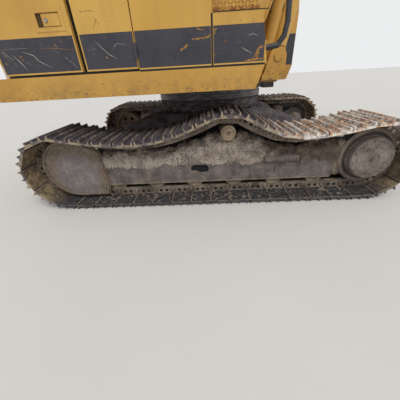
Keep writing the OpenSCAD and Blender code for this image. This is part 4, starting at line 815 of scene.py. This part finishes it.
# %% Tread sheet
tread_y, tread_foot = face_y + 0.025, 1.552  # the sheet's face, and its lower edge
tread_rust, tree, shader, place = finish_of("rust_on_tread_sheet")
axes = add(tree, "SeparateXYZ", {}, {0: place}).outputs
coat = tinted(tree, blotches(tree, place, 140, 0.46, 0.7, 6.0), "#CB9D4C", "#B5803E")
edge = overlap(tree, worn_edge(tree, 4), blotches(tree, place, 60, 0.36, 0.52, 4.0))
coat = tinted(tree, edge, coat, "#8A5228", 0.9)
crest = add(tree, "Math", {"operation": "LESS_THAN", 1: tread_y - 0.0045}, {0: axes["Y"]})
coat = tinted(tree, overlap(tree, crest, blotches(tree, place, 50, 0.38, 0.50, 4.0)), coat, "#98602F", 0.8)
foot = add(tree, "MapRange", {1: tread_foot + 0.026, 2: tread_foot + 0.001}, {0: axes["Z"]})
coat = tinted(tree, overlap(tree, foot, blotches(tree, place, 24, 0.42, 0.54, 6.0)), coat, "#7A4020", 0.9)
surfaced(tree, shader, coat, {"Roughness": 0.8}, [(blotches(tree, place, 12, 0.3, 0.7, 5.0), 0.8)], 1.5)


def tread_sheet(bm):
    """The sheet, and its bars on a square pitch, tilted to and fro."""
    x0, x1, z0, z1, pitch = 0.022, 0.362, tread_foot, 1.772, 0.025
    block(bm, (x0, tread_y - 0.003, z0), (x1, tread_y + 0.001, z1))
    for i in range(int((x1 - x0) / pitch)):
        for j in range(int((z1 - z0) / pitch)):
            centre = Vector((x0 + (i + 0.5) * pitch + 0.003, tread_y - 0.004, z0 + (j + 0.5) * pitch + 0.004))
            tilt = Matrix.Rotation(math.radians(45 if (i + j) % 2 else -45), 4, "Y")
            block(bm, (-0.0105, -0.0018, -0.0020), (0.0105, 0.0012, 0.0020), Matrix.Translation(centre) @ tilt)


piece("tread_sheet_step", tread_sheet, tread_rust, "upper", 1.0)

# %% [markdown]
# ## Seals round the tank and the tool box, and the deck beam's tails
# Black rubber, gone matt and dusty, fills the joints between the panels that don't open; its near
# black is also painted shade in those joints and under the tread sheet. The deck beam ends behind the
# rear door in a rounded tail of the same pressed sheet. Both are plain sections, so blocks and one
# outline are enough.

# %% Seals and tails
def panel_seals(bm):
    """Black strips under and between the tank and the tool box, and under the tread sheet: rubber, and painted shade in
    these joints.
    """
    joint_x, front_x = tank[1].x, tool_box[1].x
    for x0, x1, z0, z1 in ((tank[0].x + 0.018, front_x - 0.014, 1.2010, 1.2150),
                           (joint_x - 0.007, joint_x + 0.007, 1.2160, 1.5390),
                           (joint_x + 0.008, front_x - 0.016, 1.5395, 1.5455)):
        block(bm, (x0, face_y - 0.0012, z0), (x1, face_y + 0.002, z1))


def skirt_tails(bm):
    """The beams' rounded ends, in front of the counterweight's corners."""
    low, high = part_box("right_deck")
    corner = [(0, 0), (0.085, 0.002), (0.118, 0.024), (0.125, 0.120), (0, 0.120)]  # rearward, then inward
    for way in (1, -1):
        skin(bm, [[(low.x - back, way * (face_y + inward), z) for back, inward in corner]
                  for z in (low.z, high.z - 0.002)])


# near black strips: rubber seals that are also painted shade in the joints
seal_rubber_and_shade = black_part("seal_rubber_and_painted_joint_shade", "#1B1916", "#35302A", 0.8, 8, 0.2)
piece("panel_seals", panel_seals, seal_rubber_and_shade, "upper")
piece("skirt_tails", skirt_tails, skirt_enamel, "upper", 2.0)

# %% [markdown]
# ## The chain's links
# Between the shoes' plates and the rollers run forged links: each is a bar that swells round its
# two pins, with a window in which a shoe's nut sits. On the solid model they are one smooth rail,
# so each link is laid over it here, along the same sagging pin line: level below, round the
# sprocket, slack over the carrier roller, and round the idler.

# %% Pin lines of the two chains
pin_r, shoes, pin_low = 0.294, 40, 0.090
carrier_x, crest_z = 0.150, 0.780
# per side: sag, angle where the chain leaves the wheels, then reach and bend of its fall ahead and behind
slack = {"right": (0.098, 14, 0.560, 1.6, 0.800, 1.75), "left": (0.008, 4, 0.900, 1.6, 0.900, 1.75)}
arc_steps, top_steps = 20, 44


def fall(t, bend):
    """From 1 down to 0 as t goes from 0 to 1, steep first."""
    return (1 - t) ** bend if t < 1 else 0.0


def around(cx, a0, a1):
    """Points of a wheel's pin circle from angle a0 to a1."""
    angles = [math.radians(a0 + (a1 - a0) * i / arc_steps) for i in range(arc_steps + 1)]
    return [(cx + pin_r * math.cos(a), wheel_z + pin_r * math.sin(a)) for a in angles]


def pins_of(side):
    """The pins of one chain as (x, z): below, round the drive, along the slack top and round the idler."""
    sag, leave, front, front_bend, back, back_bend = slack[side]
    low_z = wheel_z + pin_r - sag
    leave_x = half_base - pin_r * math.sin(math.radians(leave))
    end_drop = sag - pin_r * (1 - math.cos(math.radians(leave)))
    end_reach = 2 * end_drop / math.tan(math.radians(leave))

    def crest(d):
        """How much of the roller's height is left at d metres ahead of it; the tent's tip is rounded."""
        away = math.hypot(d, 0.05) - 0.05
        return fall(away / front, front_bend) if d > 0 else fall(away / back, back_bend)

    def top(x):
        hang = end_drop * fall((leave_x - abs(x)) / end_reach, 2)
        return low_z + hang + (crest_z - low_z) * crest(x - carrier_x) / crest(0.099)

    line = [(0, pin_low)] + around(half_base, -90, 90 + leave)
    line += [(x, top(x)) for x in [leave_x * (1 - 2 * i / top_steps) for i in range(1, top_steps)]]
    line += around(-half_base, 90 - leave, 270) + [(0, pin_low)]
    run = [0.0]
    for a, b in zip(line, line[1:]):
        run.append(run[-1] + math.dist(a, b))
    pitch = run[-1] / shoes
    # the chain is shifted along its line until a shoe lies level on the carrier roller
    crest_s = next(run[i] + (line[i][0] - carrier_x) / (line[i][0] - line[i + 1][0]) * (run[i + 1] - run[i])
                   for i in range(arc_steps + 2, len(line) - arc_steps - 2) if line[i][0] >= carrier_x > line[i + 1][0])
    phase = crest_s - pitch * (math.floor(crest_s / pitch - 0.5) + 0.5)
    pins = []
    for s in [i * pitch + phase for i in range(shoes)]:
        k = max(j for j in range(len(run) - 1) if run[j] <= s)
        t = (s - run[k]) / (run[k + 1] - run[k])
        pins.append(Vector(line[k]).lerp(Vector(line[k + 1]), t))
    print(side, "pitch mm", round(pitch * 1000, 1))
    return pins


pins = {side: pins_of(side) for side in slack}

# %% Forged links
link_mud = earthy_casting("earthy_forged_link", "#978A7E", "#675C52", "#47403A", 0.66, wash=0.1)
# near black bars in the gaps between the shoes and a sheet in the frame's slot: painted shade
joint_and_slot_shade = black_part("painted_shade_in_joints_and_slot", "#15141A", "#2A2725", 0.9, 10, 0.4)
rail_half, link_wall = 0.0825, 0.008  # a chain's two rails: half their distance, and how thick a link is


def link_frame(side, i):
    """Start, length, direction and outward direction of link i."""
    a, b = pins[side][i], pins[side][(i + 1) % shoes]
    t = (b - a).normalized()
    return a, (b - a).length, t, Vector((t.y, -t.x))


def forged_link(bm, side, i, y0, y1):
    """Two pin bosses joined by a waisted bar, with two windows left open to the shoe's nuts. The outlines
    give (along the link, outward) in metres, mirrored about the link's middle m."""
    a, l, t, out = link_frame(side, i)
    m = l / 2
    outer_bar = [(0.008, 0.044), (l - 0.008, 0.044), (l - 0.008, 0.026), (m + 0.048, 0.026), (m + 0.030, 0.034),
                 (m + 0.012, 0.022), (m - 0.012, 0.022), (m - 0.030, 0.034), (m - 0.048, 0.026), (0.008, 0.026)]
    inner_bar = [(0.016, -0.038), (l - 0.016, -0.038), (l - 0.012, -0.010), (m + 0.044, 0.002),
                 (m + 0.030, -0.006), (m + 0.014, 0.004), (m - 0.014, 0.004), (m - 0.030, -0.006),
                 (m - 0.044, 0.002), (0.012, -0.010)]
    post = [(m - 0.013, 0.003), (m + 0.013, 0.003), (m + 0.013, 0.023), (m - 0.013, 0.023)]
    ends = [[(0.010, -0.012), (0.052, 0.002), (0.052, 0.028), (0.010, 0.028)],
            [(l - 0.052, 0.002), (l - 0.010, -0.012), (l - 0.010, 0.028), (l - 0.052, 0.028)]]
    for bar in (outer_bar, inner_bar, post, *ends):
        plate(bm, [a + u * t + v * out for u, v in bar], y0, y1)
    thick, way = abs(y1 - y0) / 2, (1 if y0 < y1 else -1)
    boss = [(0.034, -thick), (0.034, thick - 0.002), (0.031, thick), (0.021, thick), (0.020, thick + 0.003),
            (0.016, thick + 0.003)]
    turned(bm, boss, (a.x, (y0 + y1) / 2, a.y), (0, way, 0), 20)


def chain_links(bm, side, way):
    """Both rails of one chain, each link's face turned away from the chain's middle."""
    for i in range(shoes):
        for outward in (way, -way):
            face = way * track_y + outward * rail_half
            forged_link(bm, side, i, face, face + outward * link_wall)


print("first link mm", round(link_frame("right", 0)[1] * 1000, 1))


# %% Shoe bolts, the joints between the shoes, and the chains' pieces
def shoe_bolts(bm, side, mid):
    """Two rows of four 24 mm bolts on each shoe's inner face."""
    for i in range(shoes):
        a, l, t, out = link_frame(side, i)
        for along in (0.062, l - 0.062):
            for dy in (-0.118, -0.045, 0.045, 0.118):
                at = a + t * along + out * 0.0635
                hex_bolt(bm, (at.x, mid + dy, at.y), (out.x, 0, out.y), 24)


def shoe_bars(bm, side, mid, u0, u1, v):
    """Bars across the shoes' inner faces at each joint, from u0 to u1 along the chain and up to v."""
    for i in range(shoes):
        a, _, t, out = link_frame(side, i)
        for y0, y1 in ((mid - 0.297, mid - 0.098), (mid + 0.098, mid + 0.297)):
            plate(bm, [a + t * u + out * w for u, w in ((u0, 0.0445), (u1, 0.0445), (u1, v), (u0, v))], y0, y1)


for side, way in sides.items():
    mid = way * track_y
    piece(side + "_chain_links", lambda bm: chain_links(bm, side, way), link_mud, "undercarriage", 1.5)
    piece(side + "_shoe_bolts", lambda bm: shoe_bolts(bm, side, mid), shoe_steel, "undercarriage")
    # the bars at the joints are near black: painted shade in the gaps between the shoes
    piece(side + "_shoe_joints", lambda bm: shoe_bars(bm, side, mid, -0.005, 0.005, 0.0415), joint_and_slot_shade,
          "undercarriage")
    piece(side + "_shoe_lips", lambda bm: shoe_bars(bm, side, mid, 0.005, 0.017, 0.0375), link_mud,
          "undercarriage", 1.5)

# %% [markdown]
# ## Earth packed on the track frames
# Clay and gravel lie on every ledge under the slack chain: a ragged bank along the frame's top,
# clods at the frame's front end, a pale ridge along its lower edge that is also a painted highlight on
# that edge, and crumbs on the shoes. A bank is a grid that is arched over the ledge and pushed about
# by octaves of noise. A cloth or fluid simulation would give no better a heap, and this one comes out
# the same each time.

# %% Clay and gravel
heap_earth, tree, shader, place = finish_of("clay_and_gravel")
along_x = add(tree, "SeparateXYZ", {}, {0: place}).outputs["X"]
damp = blotches(tree, place, 85, 0.36, 0.62, 8.0)
stone = add(tree, "TexVoronoi", {"Scale": 1000 / 22, "Randomness": 1.0}, {"Vector": place})
stones = add(tree, "MapRange", {1: 0.05, 2: 0.5, 3: 1.0, 4: 0.0}, {0: stone.outputs["Distance"]})
# paler towards the rear end: drier, crumbly clay, and painted light that lifts the shade of the slack chain above the
# bank
pale_lit_end = add(tree, "MapRange", {1: -0.30, 2: -0.70}, {0: along_x})
wet_end = add(tree, "MapRange", {1: 0.42, 2: 0.60}, {0: along_x})
wet_end = overlap(tree, wet_end, blotches(tree, place, 140, 0.30, 0.42, 5.0))
coat = tinted(tree, damp, "#83786F", "#B8AB9F")
coat = tinted(tree, overlap(tree, stones, blotches(tree, place, 60, 0.5, 0.58)), coat, "#BBAEA0", 0.7)
coat = tinted(tree, blotches(tree, place, 19, 0.53, 0.63, 5.0), coat, "#443B34", 0.65)
coat = tinted(tree, pale_lit_end, coat, "#C9BCAF", 0.3)
coat = tinted(tree, wet_end, coat, tinted(tree, damp, "#43382F", "#675A4D"), 0.85)
surfaced(tree, shader, coat, {"Roughness": 0.95, "Specular IOR Level": 0.15},
         [(stones, 5.0), (blotches(tree, place, 11, 0.3, 0.7, 4.0), 3.0)], 1.0)
clods_and_edge_highlight = earthy_casting("dried_clay_and_painted_edge_highlight", "#94867A", "#6C6156", "#574E46", 0.74, wash=0.0)
wet_gravel = earthy_casting("wet_gravel_on_shoes", "#7E766E", "#524C49", "#3B383A", 0.6, wash=0.0)
print("three kinds of earth ready")

# %% Banks of earth
bank_x0, bank_x1, ledge, bank_half = -1.27, 1.24, 0.425, 0.119
slot_x0, slot_x1, slot_base, slot_top = -0.227, -0.043, 0.280, 0.364  # the open slot in each track frame
# along the right frame: x, height of the bank's crest
crest_heights = [(-1.27, 0.50), (-1.18, 0.525), (-1.05, 0.525), (-0.90, 0.520), (-0.70, 0.515), (-0.52, 0.51),
                 (-0.40, 0.53), (-0.25, 0.575), (-0.10, 0.62), (0.02, 0.65), (0.15, 0.60), (0.28, 0.66),
                 (0.40, 0.62), (0.55, 0.54), (0.75, 0.515), (0.95, 0.53), (1.10, 0.56), (1.24, 0.55)]


def rough_at(p, scales=((9, 1.0), (23, 0.5), (60, 0.25))):
    """Noise at p in several octaves, each a scale and its weight."""
    return sum(w * noise.noise(Vector(p) * s) for s, w in scales)


def crest_at(x, way):
    if way > 0:  # the left chain is tight, so mud has packed higher under it
        return 0.62 + 0.012 * math.sin(9 * x)
    return read_off(crest_heights, x, 0.45)


def bank_row(x, way, fade):
    """One section of the bank, an arch over the ledge. fade brings it down at the bank's ends."""
    across, row = 30, []
    for angle in [math.pi * j / across for j in range(across + 1)]:
        y = way * (track_y - bank_half * math.cos(angle))
        rise = (crest_at(x, way) - ledge) * max(math.sin(angle), 0) ** 0.5
        bump = 0.032 * rough_at((x, way * 3 + y, rise)) * fade * (0.35 + math.sin(angle))
        bump += 0.012 * rough_at((x * 1.3 + 5, way * 3 + y, rise), ((70, 1.0), (140, 0.5))) * fade
        row.append(Vector((x, y - way * 0.5 * bump * math.cos(angle), ledge + rise * fade + bump)))
    return row


def crust_foot(p, seed):
    """Where the crust that hangs over the frame's upper edge at p ends, ragged but clear of the slot."""
    height = 0.405 - 0.04 * (1 + rough_at((p.x * 1.7, seed, 0.3), ((8, 1.0), (30, 0.7))))
    if slot_x0 - 0.03 < p.x < slot_x1 + 0.03:
        height = max(height, slot_top + 0.008)
    return Vector((p.x, p.y, height))


def bank(bm, way):
    columns, rows = 280, []
    for i in range(columns + 1):
        fade = min(1.0, (i + 3) / 8, (columns - i + 3) / 8)
        row = bank_row(bank_x0 + (bank_x1 - bank_x0) * i / columns, way, fade)
        rows.append([crust_foot(row[0], way), *row, crust_foot(row[-1], way - 1)])
    skin(bm, rows, closed=False, lids=False)


def slot_shade_sheet(bm, way):
    """A near black sheet 30 mm behind the face of the frame's slot: painted shade inside the slot."""
    lap, behind = 0.01, way * (track_y + bank_half - 0.03)
    x0, x1, z0, z1 = slot_x0 - lap, slot_x1 + lap, slot_base - lap, slot_top + lap
    plate(bm, [(x0, z0), (x1, z0), (x1, z1), (x0, z1)], behind - 0.003, behind + 0.003)


for side, way in sides.items():
    piece("packed_earth_" + side, lambda bm: bank(bm, way), heap_earth, "undercarriage", smooth=True)
    piece("painted_shade_in_slot_" + side, lambda bm: slot_shade_sheet(bm, way), joint_and_slot_shade, "undercarriage")


# %% Clods, ridges and crumbs
def frame_clods(bm, way):
    """Clay jammed between the frame's end and the drive, and a thin pale ridge along the frame's lower edge, clay that
    is also a painted highlight on that edge.
    """
    base, top, thick = 0.175, *((0.555, 0.074) if way < 0 else (0.625, 0.090))
    half = Vector((thick, 0.104, (top - base) / 2))
    middle = Vector((1.238, way * track_y, (top + base) / 2))
    for v in bmesh.ops.create_icosphere(bm, subdivisions=5, radius=1.0)["verts"]:
        v.co /= max(abs(c) for c in v.co) ** 0.75  # a ball, three quarters of the way to a cube
        v.co = Vector([c * h for c, h in zip(v.co, half)])
        v.co *= 1 + 0.05 * rough_at(v.co + middle, ((14, 1.0), (45, 0.6), (120, 0.3)))
        v.co += middle
    low_z, y_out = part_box("right_track_frame")[0].z, way * (track_y + 0.115)
    # the ridge: pale clay along the frame's lower edge, which is also a painted highlight on that edge
    rows, ridge_x0, ridge_long, steps = [], -1.11, 2.29, 260
    for x in [ridge_x0 + ridge_long * i / steps for i in range(steps + 1)]:
        grow = 0.006 + 0.003 * rough_at((x, way, 0), ((25, 1.0), (90, 0.7)))
        section = ((-0.002, 0.014), (grow * 0.6, 0.012), (grow, 0.005), (grow * 0.7, -0.001), (-0.002, -0.001))
        rows.append([(x, y_out + way * dy, low_z + dz) for dy, dz in section])
    skin(bm, rows, closed=False, lids=False)


def share(*numbers):
    """A number from 0 to 1 that is always the same for the same seeds."""
    return 0.5 + 0.5 * noise.cell(Vector(numbers))


def crumbs(bm, way):
    """Small stones and clods on the inner faces of the bottom shoes."""
    count, shoe_top = 240, 0.047
    for i in range(count):
        far, aside, big = [share(i * 1.37 + 0.5, seed, way * 5.0) for seed in (0.3, 7.4, 14.5)]
        r = 0.006 + 0.016 * big ** 2
        at = Vector((-1.35 + 2.7 * far, way * (1.16 + 0.17 * aside), shoe_top + r * 0.3))
        for v in bmesh.ops.create_icosphere(bm, subdivisions=1, radius=r)["verts"]:
            v.co *= 1 + 0.5 * noise.noise(v.co * 60 + Vector((i, 0, 0)))
            v.co.z *= 0.7
            v.co += at


for side, way in sides.items():
    piece("frame_clods_" + side, lambda bm: frame_clods(bm, way), clods_and_edge_highlight, "undercarriage",
          smooth=True)
for side, way in sides.items():
    piece("crumbs_" + side, lambda bm: crumbs(bm, way), wet_gravel, "undercarriage")

# %% [markdown]
# ## Seat and its cushions
# The operator's seat is a foam cushion in woven cloth, on a sprung base behind a rubber bellows. A
# cushion is never a box: its top is crowned, its sides pull in between the corners, and the cover
# is sewn in channels. Each is a rounded block whose points are moved by a rule for crown, waist
# and seams, and then subdivided; cloth simulation would add little inside a cab this small.

# %% Seat cloth
# Woven polyester: warp and weft threads as two crossed ripples, a soft sheen, dust in patches.
ripple_mm = 1000 * 2 * math.pi / 20  # a wave texture of scale 1 repeats at this distance
cloth, tree, shader, place = finish_of("woven_seat_cloth")
weft, warp = [
    add(tree, "TexWave", {"wave_type": "BANDS", "bands_direction": way, "Scale": ripple_mm / 15.783, "Distortion": 0.4},
        {"Vector": place}) for way in ("Y", "X")]
thread = overlap(tree, weft, warp)  # drawn at 16 mm, since a thread of 1 mm would not show
coat = tinted(tree, thread, "#2B2C30", "#44464C")
coat = tinted(tree, blotches(tree, place, 150, 0.45, 0.7, 5.0), coat, "#5E564B", 0.5)
surfaced(tree, shader, coat, {"Roughness": 0.9, "Sheen Weight": 0.3}, [(thread, 0.5)], 1.0)
print("one thread of the cloth is 16 mm wide")


# %% Cushions
def cushion(bm, size, channels, crown, place):
    """A closed crowned form, put where place says: size along X, Y, Z; the seams run along X."""
    n, m = 18, 24
    sx, sy, sz = [s / 2 for s in size]
    seam_wide, seam_deep, waist = 0.008, 0.010, 0.035
    grid = {}
    for level, top in ((0, -1), (1, 1)):
        for i in range(n + 1):
            for j in range(m + 1):
                u, v = 2 * i / n - 1, 2 * j / m - 1
                edge = (1 - abs(u) ** 4) * (1 - abs(v) ** 4)
                seam = sum(math.exp(-((v - c) * sy / seam_wide) ** 2) for c in channels) if top > 0 else 0
                pull = 1 - waist * (1 - min(abs(u), abs(v)) ** 2) * max(abs(u), abs(v)) ** 6
                z = top * sz * (0.55 + 0.45 * edge ** 0.35) + (crown * edge if top > 0 else 0) - seam_deep * seam * edge
                grid[level, i, j] = bm.verts.new(place @ Vector((u * sx * pull, v * sy * pull, z)))
    for level in (0, 1):
        for i in range(n):
            for j in range(m):
                q = [grid[level, i, j], grid[level, i + 1, j], grid[level, i + 1, j + 1], grid[level, i, j + 1]]
                bm.faces.new(q if level else list(reversed(q)))
    rim = [(i, 0) for i in range(n)] + [(n, j) for j in range(m)]
    rim += [(i, m) for i in range(n, 0, -1)] + [(0, j) for j in range(m, 0, -1)]
    for (a, b), (c, d) in zip(rim, rim[1:] + rim[:1]):
        bm.faces.new((grid[0, a, b], grid[0, c, d], grid[1, c, d], grid[1, a, b]))


seat_y = sum(corner.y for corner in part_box("seat")) / 2
flat = Matrix.Translation((0.125, seat_y, 1.628))
lean = Matrix.Translation((-0.105, seat_y, 1.93)) @ Matrix.Rotation(math.radians(82), 4, "Y")
squab = piece("seat_cushion", lambda bm: cushion(bm, (0.46, 0.49, 0.10), (-0.42, 0.42), 0.014, flat),
              cloth, "upper", smooth=True)
backrest = piece("seat_backrest", lambda bm: cushion(bm, (0.52, 0.46, 0.10), (-0.40, 0.40), 0.012, lean),
                 cloth, "upper", smooth=True)
for soft in (squab, backrest):
    smooth_out = soft.modifiers.new("smoothed_foam", "SUBSURF")
    smooth_out.levels = smooth_out.render_levels = 1


# %% Sprung base
def sprung_base(bm):
    """A bellows of folds between a floor plate and a seat plate, and the backrest's upright."""
    folds, fold_z, fold_high = 7, 1.30, 0.036
    for k in range(folds):
        z0, grow = fold_z + k * fold_high, 0.0 if k % 2 else 0.018
        block(bm, (-0.06 - grow, seat_y - 0.18 - grow, z0), (0.28 + grow, seat_y + 0.18 + grow, z0 + fold_high))
    for x0, x1, half, z0, z1 in ((-0.08, 0.30, 0.20, 1.246, 1.30), (-0.10, 0.34, 0.22, 1.552, 1.574),
                                 (-0.150, -0.100, 0.05, 1.56, 1.80)):
        block(bm, (x0, seat_y - half, z0), (x1, seat_y + half, z1))


base = piece("seat_base", sprung_base, machine_plastic, "upper", 4.0)
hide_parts("seat")

# %% [markdown]
# ## Bolts
# Cast and welded parts are held by bolts of known sizes, and a machine without them looks like a
# toy. Each group stands in a circle or a row that follows from the part it holds. They share one
# small function and one mesh a body.

# %% Bolts
def bolt_ring(bm, centre, axis, radius, count, across_mm, start=0.0):
    """Bolts on a circle round an axis, the first at angle start."""
    turn = Vector((0, 0, 1)).rotation_difference(Vector(axis)).to_matrix()
    for a in [start + 2 * math.pi * i / count for i in range(count)]:
        hex_bolt(bm, Vector(centre) + turn @ Vector((radius * math.cos(a), radius * math.sin(a), 0)), axis, across_mm)


def under_bolts(bm):
    """On the drives' covers, the carrier rollers' shafts and the underside of the slew ring."""
    drive_y, roller_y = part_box("final_drives")[1].y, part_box("carrier_rollers")[1].y
    for s in (-1, 1):
        hex_bolt(bm, (half_base, s * (drive_y - 0.006), wheel_z), (0, s, 0), 36)
        bolt_ring(bm, (half_base, s * (drive_y - 0.008), wheel_z), (0, s, 0), 0.172, 12, 16, 0.2)
        hex_bolt(bm, (carrier_x, s * (roller_y + 0.0005), crest_z - 0.112), (0, s, 0), 27)
    for turn in [2 * math.pi * a / 30 for a in range(30)]:
        hex_bolt(bm, (0.625 * math.cos(turn), 0.625 * math.sin(turn), 0.8), (0, 0, -1), 22)


def upper_bolts(bm):
    """On the counterweight, the boom's foot plates, and two covers on the deck in front."""
    for s in (-1, 1):
        for x in (-1.95, -1.90):
            hex_bolt(bm, (x, s * 0.35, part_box("counterweight")[1].z - 0.001), (0, 0, 1), 36)
        bolt_ring(bm, (0.40, s * 0.225, 1.45), (0, s, 0), 0.105, 4, 24, 0.78)
    for x, y in ((-0.330, -0.70), (-0.120, -0.90)):
        bolt_ring(bm, (x, y, 1.986), (0, 0, 1), 0.082, 6, 13)


def boom_bolts(bm):
    """Round the pin at the boom's upper end."""
    for s in (-1, 1):
        bolt_ring(bm, (3.87869, s * 0.190, 4.27743), (0, s, 0), 0.092, 6, 22)


piece("undercarriage_bolts", under_bolts, drive_mud, "undercarriage")
piece("upper_bolts", upper_bolts, sheet_enamel, "upper")
piece("boom_bolts", boom_bolts, cast_enamel, "boom")

# %% [markdown]
# ## Oil lines
# Pressure pipes run along the boom's top in pairs, clamped to it. They are bent steel in the
# boom's paint. They are drawn as curves with a round bevel, the quickest way to a clean tube.

# %% Pipes along the boom
boom_foot, knee = Vector((0.4, 1.45)), 1.6  # the foot pin as (x, z), and how far up the boom its knee is
low_a, up_a = math.radians(74), math.radians(23)  # the slope below and above the knee
bend_r, bend_half = 0.9, 0.43
boom_depth = [(0.0, 0.14), (0.35, 0.19), (1.17, 0.25), (2.03, 0.255), (3.3, 0.205), (4.5, 0.14)]


def polar(angle, length):
    return Vector((math.cos(angle), math.sin(angle))) * length


def along_boom(t, off, y):
    """A point t metres along the boom's middle line and off metres above it."""
    square = math.pi / 2
    if t < knee - bend_half:
        base, a = boom_foot + polar(low_a, t), low_a
    elif t > knee + bend_half:
        base, a = boom_foot + polar(low_a, knee) + polar(up_a, t - knee), up_a
    else:
        a = low_a + (up_a - low_a) * (t - knee + bend_half) / (2 * bend_half)
        start = boom_foot + polar(low_a, knee - bend_half)
        base = start + polar(low_a - square, bend_r) + polar(a + square, bend_r)
    p = base + polar(a + square, off)
    return (p.x, y, p.y)


def half_depth(t):
    return read_off(boom_depth, t, 0.14)


def line_pipe(name, points, radius_mm, finish, body):
    """A bent pipe along smooth points, held by the body all the way."""
    curve = bpy.data.curves.new(name, "CURVE")
    curve.dimensions = "3D"
    curve.bevel_depth, curve.bevel_resolution, curve.use_fill_caps = radius_mm / 1000, 3, True
    spline = curve.splines.new("NURBS")
    spline.points.add(len(points) - 1)
    for point, p in zip(spline.points, points):
        point.co = (*p, 1.0)
    spline.use_endpoint_u, spline.order_u, spline.resolution_u = True, 3, 6
    made = bpy.data.objects.new(name, curve)
    curve.materials.append(finish)
    scene.collection.objects.link(made)
    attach(made, body)
    print(f"{name}: {len(points)} points on {body}")


for k, (y, first, count) in enumerate(((-0.125, 0.55, 16), (-0.085, 0.7, 14), (0.085, 0.7, 14), (0.125, 0.55, 16))):
    stops = [first + 0.1 * i for i in range(count)]
    line_pipe(f"boom_oil_pipe_{k}", [along_boom(t, half_depth(min(t, 4.4)) + 0.022, y) for t in stops], 11,
              cast_enamel, "boom")


# %% Pipe clamps
def pipe_clamps(bm):
    """Moulded blocks over each pair of pipes, each with a 13 mm bolt in its top."""
    for t in (0.8, 1.25, 1.7):
        x, _, z = along_boom(t, half_depth(t) + 0.016, 0)
        (x0, _, z0), (x1, _, z1) = along_boom(t - 0.02, 0, 0), along_boom(t + 0.02, 0, 0)
        a = math.atan2(z1 - z0, x1 - x0)
        for y in (-0.105, 0.105):
            place = Matrix.Translation((x, y, z)) @ Matrix.Rotation(-a, 4, "Y")
            block(bm, (-0.016, -0.036, -0.016), (0.016, 0.036, 0.024), place)
            hex_bolt(bm, (x - 0.024 * math.sin(a), y, z + 0.024 * math.cos(a)), (-math.sin(a), 0, math.cos(a)), 13)


piece("boom_pipe_clamps", pipe_clamps, machine_plastic, "boom", 2.0)

# %% [markdown]
# ## Small things on the cab, the lamps and the hood
# Extruded rubber seals round the cab's panes, pressed and fluted glass in the two lamps, and a
# pair of rubber latches on the hood. They are small, but a plain cab looks unfinished without.

# %% Pane seals
def pane_seals(bm):
    """Seals round the cab's two right panes, and a strip under the front pane."""
    low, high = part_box("cab_shell")
    z0, z1, lap, out = 1.810, 2.770, 0.002, 0.012  # the panes' height; the seal laps over them and out
    for x0, x1 in ((low.x + 0.090, 0.260), (0.320, high.x - 0.210)):
        level, upright = (x0 - out, x1 + out), (z0 - out, z1 + out)
        bars = [(level, (z0 - out, z0 + lap)), (level, (z1 - lap, z1 + out)),
                ((x0 - out, x0 + lap), upright), ((x1 - lap, x1 + out), upright)]
        for (a0, a1), (b0, b1) in bars:
            block(bm, (a0, low.y - 0.004, b0), (a1, low.y + 0.018, b1))
    block(bm, (high.x - 0.006, low.y + 0.06, 1.44), (high.x, low.y + 0.79, 1.456))


pane_rubber = black_part("extruded_pane_rubber", "#232224", "#45413C", 0.7, 8, 0.25)
piece("pane_seals", pane_seals, pane_rubber, "upper", 2.0)

# %% Lamp glasses
lamp_glass, tree, shader, place = finish_of("fluted_lamp_glass")
flutes = {"wave_type": "BANDS", "bands_direction": "Y", "Scale": ripple_mm / 19.729}  # 20 mm wide
flutes = add(tree, "TexWave", flutes, {"Vector": place})
surfaced(tree, shader, tinted(tree, blotches(tree, place, 40, 0.4, 0.7), "#E3E6E4", "#A9A69C"),
         {"Roughness": 0.12, "Transmission Weight": 0.35}, [(flutes, 1.2)], 1.0)
dome = [(0.0555, 0.0), (0.0555, 0.005), (0.045, 0.008), (0.024, 0.0105), (0.006, 0.011)]
for body, x, y, z in (("upper", 0.280, -0.620, 1.870), ("boom", 1.6228, 0.252, 3.3199)):
    piece("lamp_glass_" + body, lambda bm: turned(bm, dome, (x + 0.0343, y, z), (1, 0, 0), 40), lamp_glass,
          body, smooth=True)


# %% Hood latches
def hood_latches(bm):
    """Each is a plate and a narrower pull on it."""
    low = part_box("engine_hood")[0]
    for y in (-0.42, 0.42):
        block(bm, (low.x - 0.004, y - 0.035, 2.045), (low.x + 0.004, y + 0.035, 2.085))
        block(bm, (low.x - 0.010, y - 0.012, 2.05), (low.x - 0.003, y + 0.012, 2.072))


piece("hood_latches", hood_latches, machine_plastic, "engine_hood", 2.0)

# %% [markdown]
# ## The last look
# Both boxes, of the solids and of the dressed machine, are printed. The dressed machine may
# not be larger than its solids.

# %% Sizes
dressed_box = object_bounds()
for name, box in (("cad", cad_box), ("visual", dressed_box)):
    print(name, [tuple(round(c, 3) for c in corner) for corner in box])
